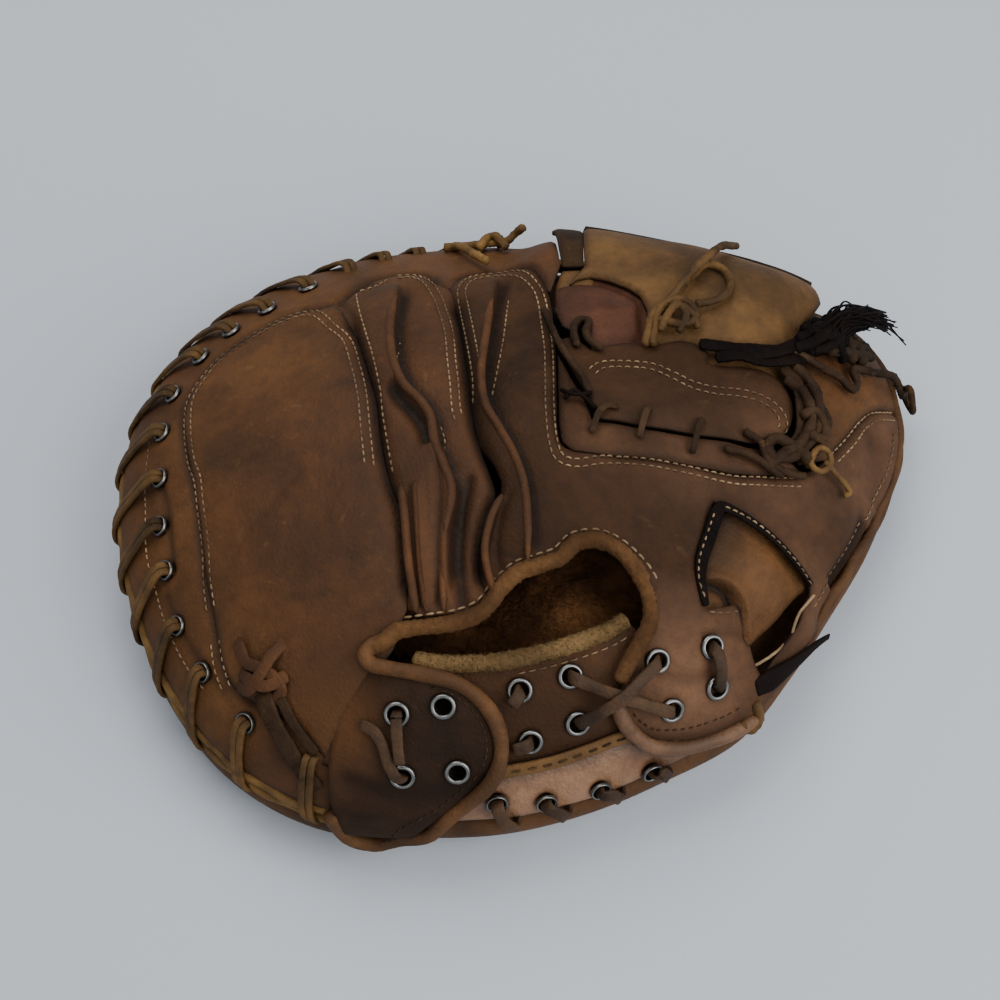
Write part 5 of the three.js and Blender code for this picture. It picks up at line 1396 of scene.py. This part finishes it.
TOP_KNOT = [[(-26, 112, 3), (-18, 114, 3), (-9, 112.5, 4), (-2, 113, 5), (3, 113, 7.4), (6.5, 112, 8.6)],
            [(-13, 109, 3), (-9, 113, 6.5), (-5, 116, 3)], [(-12, 115, 3), (-7, 112, 7), (-2, 109, 3)],
            [(-23, 113, 3), (-20, 108, 4), (-15.4, 100.6, 3.6), (-10, 94, 2.8)]]
THUMB_LACE = [[(94, 47.1, 3.4), (99.6, 45.4, 4.4), (107.5, 42.6, 4.6), (115.7, 41.3, 4), (120.2, 38.8, 3.6),
               (122.8, 42.8, 3.6), (121.3, 47.7, 4), (130.4, 51.8, 3.6), (139, 56.6, 3.8), (147, 60, 5)],
              [(147.4, 62.6, 5), (144, 56, 6.4), (147, 52.6, 6.8), (150.6, 56, 7.4), (149, 60.6, 6.4),
               (145, 60, 5)],
              [(98.6, 40.3, 3), (103.7, 33.9, 4.2), (105.4, 26.1, 4.4), (103.6, 15.6, 4.4),
               (98.9, 8.4, 4.2),
               (93.8, 4, 3.6), (88.2, 2.2, 3.2), (86.2, 5, 3.2), (88.4, 8.8, 3.4), (92.6, 8.3, 4.4),
               (98.1, 5.7, 5),
               (101.8, 3.5, 3.2)],
              [(95.3, 34.2, 2.6), (100, 27.7, 5.4), (101.3, 18.2, 5.6), (97, 9.5, 5.6), (90.8, 4, 4.8),
               (86.1, -1.4, 2.4)],
              [(104.3, 29.1, 2.6), (109.3, 22.7, 3.4), (106.6, 14.1, 3.8), (102.4, 7.7, 5)],
              [(99.3, 12.6, 6.6), (104.6, 13, 6.4), (106.2, 18, 5.6), (102.4, 22, 6.4), (98, 19, 6)]]
THUMB_PALE = [[(100.4, 5.4, 5.4), (103.2, 9.4, 6), (107, 9.1, 6), (107, 4.8, 6), (103.3, 1.6, 5.6),
               (100.4, 3.2, 5.2),
               (101.8, 6.6, 5)],
              [(105.7, 5.6, 5.6), (110.3, 3.7, 4.4), (114.3, 2.2, 3.6), (116.6, 0.2, 3.4),
               (114.6, -1.6, 3.2)]]
SLIT_END = [[(71.7, 1.8, 1.6), (78.1, 1.3, 2.4), (83.5, -0.4, 2.8), (88, -2.2, 2.4), (92, -2.6, 1.6)],
            [(78.9, 9.7, 1.6), (83.7, 6.4, 3), (85.2, 2, 3), (88.9, -1, 3), (94.8, -1.6, 2.8),
             (100, -0.4, 1.8)]]
lace_piece("web_tie", [cord(rows, 1.45) for rows in WEB_KNOT], ["web_knot"])
lace_piece("flap_tie", [cord(FLAP_LOOPS[0], 1.3), cord(FLAP_LOOPS[1], 1.4)], material=DARK_LACE)
lace_piece("tuft", [cord(rows, 0.8) for rows in TUFT], material=BLACK)
lace_piece("slit_strands", [on_surface(rows, 2.4, 1.1) for rows in SLIT_STRANDS], material=DARK_LACE)
lace_piece("top_tie", [cord(rows, 1.6, (0, -3.4, 0.6)) for rows in TOP_KNOT], ["top_knot"], PALE_LACE)
THUMB_RADII = [1.5, 1.3, 2.0, 1.9, 1.5, 1.7]      # one for each strand of the thumb's lace
THUMB_STRAPS = [[(95.5, 40, 1.4), (98.6, 33.6, 3), (99.8, 26, 3.6), (99.6, 18, 3.6), (97.6, 10.6, 3.2),
                 (94, 5.6, 2)],
                [(103.6, 31, 2.6), (106.4, 25, 3.4), (106.8, 18, 3.4), (104, 11, 3.4), (100.6, 6.4, 2.6)]]
thumb_shapes = [cord(rows, size) for rows, size in zip(THUMB_LACE, THUMB_RADII)]
thumb_shapes += [on_surface(rows, 5.6, 1.9) for rows in THUMB_STRAPS]
lace_piece("thumb_tie", thumb_shapes, ["thumb_lace"], DARK_LACE)
lace_piece("thumb_tail", [cord(rows, 1.05) for rows in THUMB_PALE], material=PALE_LACE)
lace_piece("slit_end", [cord(rows, 1.4) for rows in SLIT_END], material=DARK_LACE)

LEFT_KNOT = [[(-93, -62, 1), (-90.4, -64.4, 3.6), (-88, -69, 4), (-84, -71.4, 4.4), (-79.4, -74.6, 4),
              (-76.2, -79.6, 3),
              (-79.4, -82, 2)],
             [(-77, -66, 1.2), (-79.6, -69.6, 4.2), (-82.4, -74, 5.4), (-87, -77.2, 4.2),
              (-91.4, -75.4, 2.2)],
             [(-90.6, -71.6, 2), (-86.4, -74.6, 4.6), (-80.4, -77.4, 5), (-75, -75.6, 2.4)]]
LEFT_STRAP = [(-82.6, -79.4, 2.2), (-80.6, -84.6, 2.6), (-77.6, -90.4, 2.2), (-73.6, -96.6, 2),
              (-69, -102.4, 1.8),
              (-66, -106, 1.4)]
LEFT_STRIP = [(-76.6, -81.6, 2.2), (-73.4, -87.4, 2.2), (-69.4, -93, 2), (-65.6, -97.6, 1.6)]
SUNK = (0, 0, 0.8)      # the left knot is pressed into the leather
left_knot = [on_surface(np.subtract(rows, SUNK), 4.4, 1.8) for rows in LEFT_KNOT]
lace_piece("left_tie", left_knot, material=BACK)
left_strips = [on_surface(LEFT_STRAP, 6.6, LACE_THICKNESS), on_surface(LEFT_STRIP, 3.6, 1.5)]
lace_piece("left_strips", left_strips, material=DARK_LACE)
STRAP_END = curve([(80, -70, 3.2), (85, -65.4, 4.6), (90, -60.6, 5), (95.6, -55, 5), (101, -49, 5.2),
                   (106, -43.4, 5.8)], 1.0)
STRAP_KNOB = [(75, -79.6, 3.4), (79, -78.4, 4.2), (81, -75.6, 4), (79.6, -73.4, 3.6)]
end_width = np.interp(np.linspace(0, 1, len(STRAP_END)), [0, 0.15, 0.5, 1], [3.4, 4.2, 2.4, 1.1])
strap_end = strip(STRAP_END[:, :2], STRAP_END[:, 2], end_width, 14, 0.3)
lace_piece("strap_end", [strap_end], material=BLACK)
lace_piece("strap_knob", [cord(STRAP_KNOB, 1.9)])
VENT_STRANDS = [[(104, -35.6, 1), (100.4, -39.6, 1.6), (97.2, -43.8, 1.8), (95, -50, 1.6),
                 (95.4, -53.4, 1)],
                [(78.1, -66.4, 0.6), (83, -62.6, 1.4), (88.4, -57.8, 1.6), (93, -53.2, 1.2)]]
lace_piece("vent_strands", [cord(rows, 0.5) for rows in VENT_STRANDS], material=THREAD)

# %% [markdown]
# A flat black lace comes from below the panel and ends in a frayed tassel. Its strands start close
# together, arch up and end at random places between the tips that are listed.
# %% Black lace and tassel
BLACK_TAILS = [[(65.5, 43.6, 1.8), (72.7, 43.2, 2.2), (80.6, 43.3, 2.4), (88.8, 44.2, 3), (98, 46.6, 3.6)],
               [(70.7, 38, 2), (78, 39.4, 3.6), (84.6, 38.4, 4.2), (92.4, 40.2, 4.2), (100.4, 44.1, 4.4),
                (105, 48.4, 4.4)],
               [(78.7, 41.2, 2.6), (86.8, 41.2, 5), (94.6, 45.6, 5.2), (100.8, 51.1, 4.6),
                (106.5, 56.5, 4.4)]]
TASSEL_HEAD = [(102.5, 47.5, 4), (106, 50, 4.3), (111, 53.5, 5.2), (116, 57, 7)]
TASSEL_TIPS = np.array([(126, 81, 8), (131, 83, 10), (136, 83, 12), (139, 82, 13), (140, 80, 14),
                        (140, 78, 14),
                        (139, 76, 13)], float)
WEAVE = [[(99, 50, 5), (104, 56, 7), (110, 60, 7.5), (115, 62, 6)],
         [(101, 57, 4.6), (106, 54, 8), (112, 55, 8), (117, 59, 6)],
         [(104, 48, 5.5), (109, 51, 8), (114, 58, 8), (118, 64, 6)],
         [(106, 62, 4), (110, 57, 8.4), (113, 52, 7.6), (117, 50, 5)],
         [(98, 46.5, 5), (103, 50, 8), (108, 57, 8), (111, 64, 5.6)]]
WEAVE_ENDS = [[(110, 50, 6), (117, 52.6, 6), (124, 55.6, 5), (131, 60, 3.4)],
              [(111, 58, 7), (118, 57.6, 6.4), (125, 60, 5), (130, 65, 3)],
              [(114, 63, 6.6), (118, 57, 7), (121, 51, 4.6)], [(120, 64, 4.4), (123.6, 58, 6),
                                                               (126, 53, 3.6)]]
lace_piece("black_tails", [on_surface(rows, 4.6, LACE_THICKNESS) for rows in BLACK_TAILS], ["black_lace"],
           BLACK, 0)
TASSEL_ROOT = np.array([110, 56, 7.0])


def strands(count=230):
    """Frayed strands that arch up from the tassel's head to places scattered between its tips."""
    made = [cord(TASSEL_HEAD, 3.0)] + [cord(rows, 2.2) for rows in WEAVE]
    for place in rng.beta(1.5, 1.0, count) * (len(TASSEL_TIPS) - 1.001):
        k = int(place)
        tip = TASSEL_TIPS[k] + (TASSEL_TIPS[k + 1] - TASSEL_TIPS[k]) * (place - k)
        reach = tip + rng.normal(0, [1.6, 1.6, 1.8]) - TASSEL_ROOT
        tip = TASSEL_ROOT + reach * rng.uniform(0.42, 0.86)
        start = TASSEL_ROOT + rng.normal(0, [2.6, 2.6, 0.9])
        lower = start + (tip - start) * 0.33 + [-2, 2.4, 1.4]
        upper = start + (tip - start) * 0.7 + rng.normal(0, [1.5, 1.5, 1.2]) + [-1, 1.8, 0.8]
        rows = np.array([start, lower, upper, tip])
        path = spline(on_back(rows[:, :2], rows[:, 2]), 5)
        made.append(tube(path, np.linspace(0.62, 0.28, len(path)), 4))
    return made


lace_piece("frayed_tassel", strands(), ["tassel"], BLACK, 0)
lace_piece("woven_ends", [cord(rows, 2.0) for rows in WEAVE_ENDS], material=CUT)

# %% [markdown]
# ## Stitches
# The panels are sewn with pale waxed thread, mostly in double rows. Each stitch is a short bead that dips
# into the leather at both ends. They are laid along the seam lines at an even pitch.
# %% Stitch lines
LITTLE_ROW = [(-103, -50), (-105, -38), (-106, -28), (-109, -12), (-111, 0), (-114, 8), (-117, 25),
              (-117, 38),
              (-113, 46), (-107, 54), (-98, 60), (-88, 66), (-78, 68), (-72, 66), (-66, 58), (-60, 50),
              (-56, 36),
              (-53, 22), (-51, 5), (-49, -10)]
GROOVE_ROW = [(-58, 77), (-56, 65), (-53, 52), (-50, 40), (-47, 25), (-45.5, 12), (-43.5, 0), (-41, -14)]
RING_ROW = [(-58, 77), (-52, 80), (-45, 88), (-38, 88), (-32, 82), (-28, 72), (-25, 60), (-23, 48),
            (-22, 35),
            (-21, 25), (-20, 12), (-19, 8)]
MIDDLE_ROW = [(-13, 15), (-13, 25), (-14, 35), (-16, 50), (-18, 65), (-19, 75), (-16, 82), (-10, 86),
              (-4, 86),
              (2, 83), (8, 74), (10, 66), (11, 55), (12, 40), (12, 25), (12, 10), (13, -2), (15, -8),
              (20, -10),
              (30, -8), (45, -7), (60, -7.5), (75, -8), (85, -6), (95, -3.5), (100, -2)]
THUMB_ROW = [(113, 10), (120, 19), (126, 28), (132, 35), (138, 39), (142, 42)]
RIM_ROW = [(-132, 35), (-132, 20), (-132, 5), (-131, -3), (-129, -22), (-124, -38), (-121, -46),
           (-113, -62),
           (-104, -74)]
SHORT_ROW = [(-102, -58), (-100, -68), (-97, -76)]
PATCH_ROW = [(26, 27), (30, 31), (38, 32.5), (48, 32), (55, 29), (62, 26), (70, 25), (80, 25.5), (88, 24),
             (93, 20),
             (93.5, 15), (91, 12)]
PLEAT_ROWS = [[(-41, 50), (-41, 32), (-37, 22)], [(-26, 8), (-24, 0), (-24, -8), (-22, -12)],
              [(-2, 70), (-4, 45), (-6, 30), (-8, 18)], [(-2, -8), (3, -15), (4.5, -28), (4.5, -40)]]
VENT_LEFT = [(61.4, -51.4), (59.4, -46), (60.6, -39.4), (64, -29.4), (67.6, -19.6)]
VENT_RIGHT = [(69.6, -18.4), (75.4, -19.4), (83, -21.6), (91, -25.4), (97.4, -29.2), (103, -33.6)]
VENT_FOOT = [(61.6, -54.2), (67.6, -53.2), (74.4, -50.6)]


# A stitch is five squares along its length. Columns: part of the length, height, part of the width
BEAD = np.array([(0, -0.35, 0.55), (0.2, 0.12, 0.95), (0.5, 0.25, 1), (0.8, 0.12, 0.95), (1, -0.35, 0.55)])
SQUARES = len(BEAD)


def stitch_row(line, lift, pitch=2.9, length=2.15, width=0.35):
    """Beads along a plan line: the radius swells in the middle and both ends dip into the leather."""
    rows = even(spline(line), 0.6)
    reach = np.r_[0, np.cumsum(np.linalg.norm(np.diff(on_back(rows), axis=0), axis=1))]
    starts = np.arange(0.5 * pitch, reach[-1] - length, pitch)
    marks = starts[:, None] + BEAD[:, 0] * length + rng.normal(0, 0.12, (len(starts), 1))
    xy = np.stack([np.interp(marks, reach, rows[:, k]) for k in (0, 1)], -1).reshape(-1, 2)
    height = relief(xy)[0] + (lift(xy) if callable(lift) else lift)
    height = height + np.tile(BEAD[:, 1], len(starts))
    points = on_back(xy, height).reshape(len(starts), SQUARES, 3)
    normal = normal_at(xy).reshape(len(starts), SQUARES, 3)
    along = points[:, -1:] - points[:, :1]
    side = np.cross(normal, along)
    side /= np.linalg.norm(side, axis=2, keepdims=True)
    size = width * BEAD[None, :, 2, None]
    corners = np.stack([points + size * side, points + size * normal * 0.9, points - size * side,
                        points - size * normal * 0.9], 2)
    base = (np.arange(len(starts)) * SQUARES * 4)[:, None]
    a, b = net(SQUARES - 1, 4)
    quads = np.stack([a, b, b + 4, a + 4], -1)[None]
    ends = np.array([[[3, 2, 1, 0], [16, 17, 18, 19]]])      # the first and the last square
    faces = (np.concatenate([quads, ends], 1) + base[..., None]).reshape(-1, 4)
    return corners.reshape(-1, 3), [faces]


def double(line, lift, apart=1.45, **how):
    """Two rows of stitches, one on each side of the line."""
    smooth_line = even(spline(line), 1.2)
    return [stitch_row(offset(smooth_line, side * apart), lift, **how) for side in (1, -1)]


def sewn(name, shapes, thread=None):
    """Rows of stitches as one piece, with worn and dirty stretches."""
    points, faces = joined(shapes)
    wear = 0.35 + 0.35 * np.sin(points[:, 0] / 11 + 1) * np.sin(points[:, 1] / 13)
    return piece(name, points, faces, [thread or THREAD], masks=even_masks(points, wear))


seam_rows = double(LITTLE_ROW, 0.55) + double(RING_ROW[2:],
                                              0.1) + double(MIDDLE_ROW, 0.1) + double(THUMB_ROW, 0.1)
seam_rows += double(SHORT_ROW, rim_lift) + double(PATCH_ROW, 0.8)
seam_rows += [stitch_row(GROOVE_ROW, 0.1), stitch_row(RING_ROW[:3], 0.1), stitch_row(RIM_ROW, rim_lift)]
seam_rows += [stitch_row(line, 0.1) for line in PLEAT_ROWS]
seam_rows += [stitch_row(rim_arc(14, -26, 0.962), 0.1), stitch_row(VENT_FOOT, strap_lift, 3.2, 2.4, 0.36)]
sewn("seam_stitches", seam_rows)


def vent_lift(xy):
    """The vent's binding bridges the relief, so its stitches do too."""
    return strap_lift(xy) + 1.5 - relief(xy)[0]


sewn("vent_stitches", [stitch_row(line, vent_lift, 2.9, 2.1, 0.36) for line in (VENT_LEFT, VENT_RIGHT)])
tab_row = shrunk_tab(np.array(TAB[2:13]), 0.84)
strap_row = offset(strap_line, 3.9)[2:-3]
piping_row = piping_rows[2:-2]
opening_row = offset(np.array(OPENING_ROLL)[1:14, :2], 3.7)
centre_row = offset(np.array(CENTRE_ROLL)[2:, :2], -4.2)
dark_rows = [stitch_row(tab_row, tab_lift), stitch_row(strap_row, strap_lift),
             stitch_row(piping_row, lambda xy: 2.0 - relief(xy)[0], 5.2, 3.6, 0.5)]
sewn("edge_stitches", dark_rows, thread=DARK_THREAD)
sewn("opening_stitches", [stitch_row(opening_row, strap_lift, 3.6, 2.8, 0.45),
                          stitch_row(centre_row, 0.1, 3.6, 2.8)])

# %% [markdown]
# ## Pile
# Wool and suede are never smooth at their outline, so short fibres stand from the rolls and the lining.
# Each is a thin pyramid with four faces.
# %% Fibres
THIRDS = (0, 2.1, 4.2)      # radians: the three corners of a fibre's foot


def fibres(roots, normals, length, thin=0.1):
    """Pyramids from the roots along the normals, bent aside by a random lean."""
    count = len(roots)
    lean = normals + rng.normal(0, 0.75, (count, 3))
    lean /= np.linalg.norm(lean, axis=1, keepdims=True)
    tips = roots + lean * length * rng.uniform(0.4, 1, (count, 1))
    side = np.cross(lean, rng.normal(0, 1, (count, 3)))
    side /= np.linalg.norm(side, axis=1, keepdims=True)
    other = np.cross(lean, side)
    base = [roots + thin * (math.cos(a) * side + math.sin(a) * other) for a in THIRDS]
    points = np.stack([*base, tips], 1).reshape(-1, 3)
    start = (np.arange(count) * 4)[:, None, None]
    faces = np.array([[[0, 1, 3], [1, 2, 3], [2, 0, 3], [0, 2, 1]]]) + start
    return points, [faces.reshape(-1, 3)]


def roll_fibres(path, radius, count, length):
    """Fibres at random places round a roll, standing away from its path."""
    place = rng.integers(1, len(path) - 1, count)
    along = path[place + 1] - path[place - 1]
    out = rng.normal(0, 1, (count, 3))
    out -= (out * along).sum(1, keepdims=True) / (along * along).sum(1, keepdims=True) * along
    out /= np.linalg.norm(out, axis=1, keepdims=True)
    return fibres(path[place] + out * radius * 0.97, out, length)


LINING_FIBRES = 4500
pile_points, pile_faces = joined([roll_fibres(opening_path, OPENING_RADIUS, 1800, 0.8),
                                  roll_fibres(centre_path, CENTRE_RADIUS, 2600, 1.5)])
piece("roll_pile", pile_points, pile_faces, [ROLL_WOOL],
      masks={"dirt_and_shade": np.full(len(pile_points), 0.2)})
chosen = rng.integers(0, LINING_RINGS * LINING_AROUND, LINING_FIBRES)
upwards = np.tile([0.0, 0.0, 1.0], (LINING_FIBRES, 1))
wool_points, wool_faces = fibres(lining_points[chosen], upwards, 2.4, 0.14)
piece("lining_pile", wool_points, wool_faces, [LINING_WOOL],
      masks={"dirt_and_shade": np.repeat(lining_dirt_and_shade[chosen], 4)})

# %% [markdown]
# ## Light and camera
# The photograph is taken from above and in front, in soft light on a plain pale table. Three large
# lamps, one high behind, one at the right and a faint one in front, give the same soft shadows.
# %% Floor, lamps and camera
FLOOR_REACH = 3                         # metres from the middle to each side
TARGET = Vector((-0.009, 0.001, 0.037))
EYE = TARGET + Vector((0, -0.35, 0.606))
# Name, place in metres, side of the square in metres, power in watts
LAMPS = [("key", (-0.2, 0.5, 1.05), 0.9, 9.5), ("fill", (0.75, -0.45, 0.75), 1.0, 13),
         ("front", (-0.5, -0.9, 0.7), 1.0, 3)]


def floor_piece():
    """A plain square floor, which is stage and not part of the mitt."""
    r = FLOOR_REACH
    mesh = bpy.data.meshes.new("floor")
    mesh.from_pydata([(-r, -r, 0), (r, -r, 0), (r, r, 0), (-r, r, 0)], [], [(0, 1, 2, 3)])
    plane = bpy.data.objects.new("floor", mesh)
    bpy.context.scene.collection.objects.link(plane)
    material, _, shader = new_material("floor")
    shader.inputs["Base Color"].default_value = srgb("b9bfc6")
    shader.inputs["Roughness"].default_value = 0.9
    mesh.materials.append(material)
    return plane


def lamp(name, place, size, power, aim=(0, 0, 0.03)):
    """A square lamp turned towards the mitt."""
    light = bpy.data.lights.new(name, "AREA")
    light.size = size
    light.energy = power
    holder = bpy.data.objects.new(name, light)
    holder.location = place
    holder.rotation_euler = (Vector(aim) - Vector(place)).to_track_quat("-Z", "Y").to_euler()
    bpy.context.scene.collection.objects.link(holder)
    return holder


floor_piece()
for row in LAMPS:
    lamp(*row)
world = bpy.data.worlds.new("studio")
world.use_nodes = True
world.node_tree.nodes["Background"].inputs["Color"].default_value = (0.8, 0.83, 0.87, 1)
world.node_tree.nodes["Background"].inputs["Strength"].default_value = 0.45
bpy.context.scene.world = world

camera = bpy.data.cameras.new("camera")
camera.lens = 70
camera.sensor_width = 36
eye = bpy.data.objects.new("camera", camera)
eye.location = EYE
eye.rotation_euler = (TARGET - eye.location).to_track_quat("-Z", "Y").to_euler()
bpy.context.scene.collection.objects.link(eye)
bpy.context.scene.camera = eye
print("camera height over the table, m:", round(eye.location.z, 3))
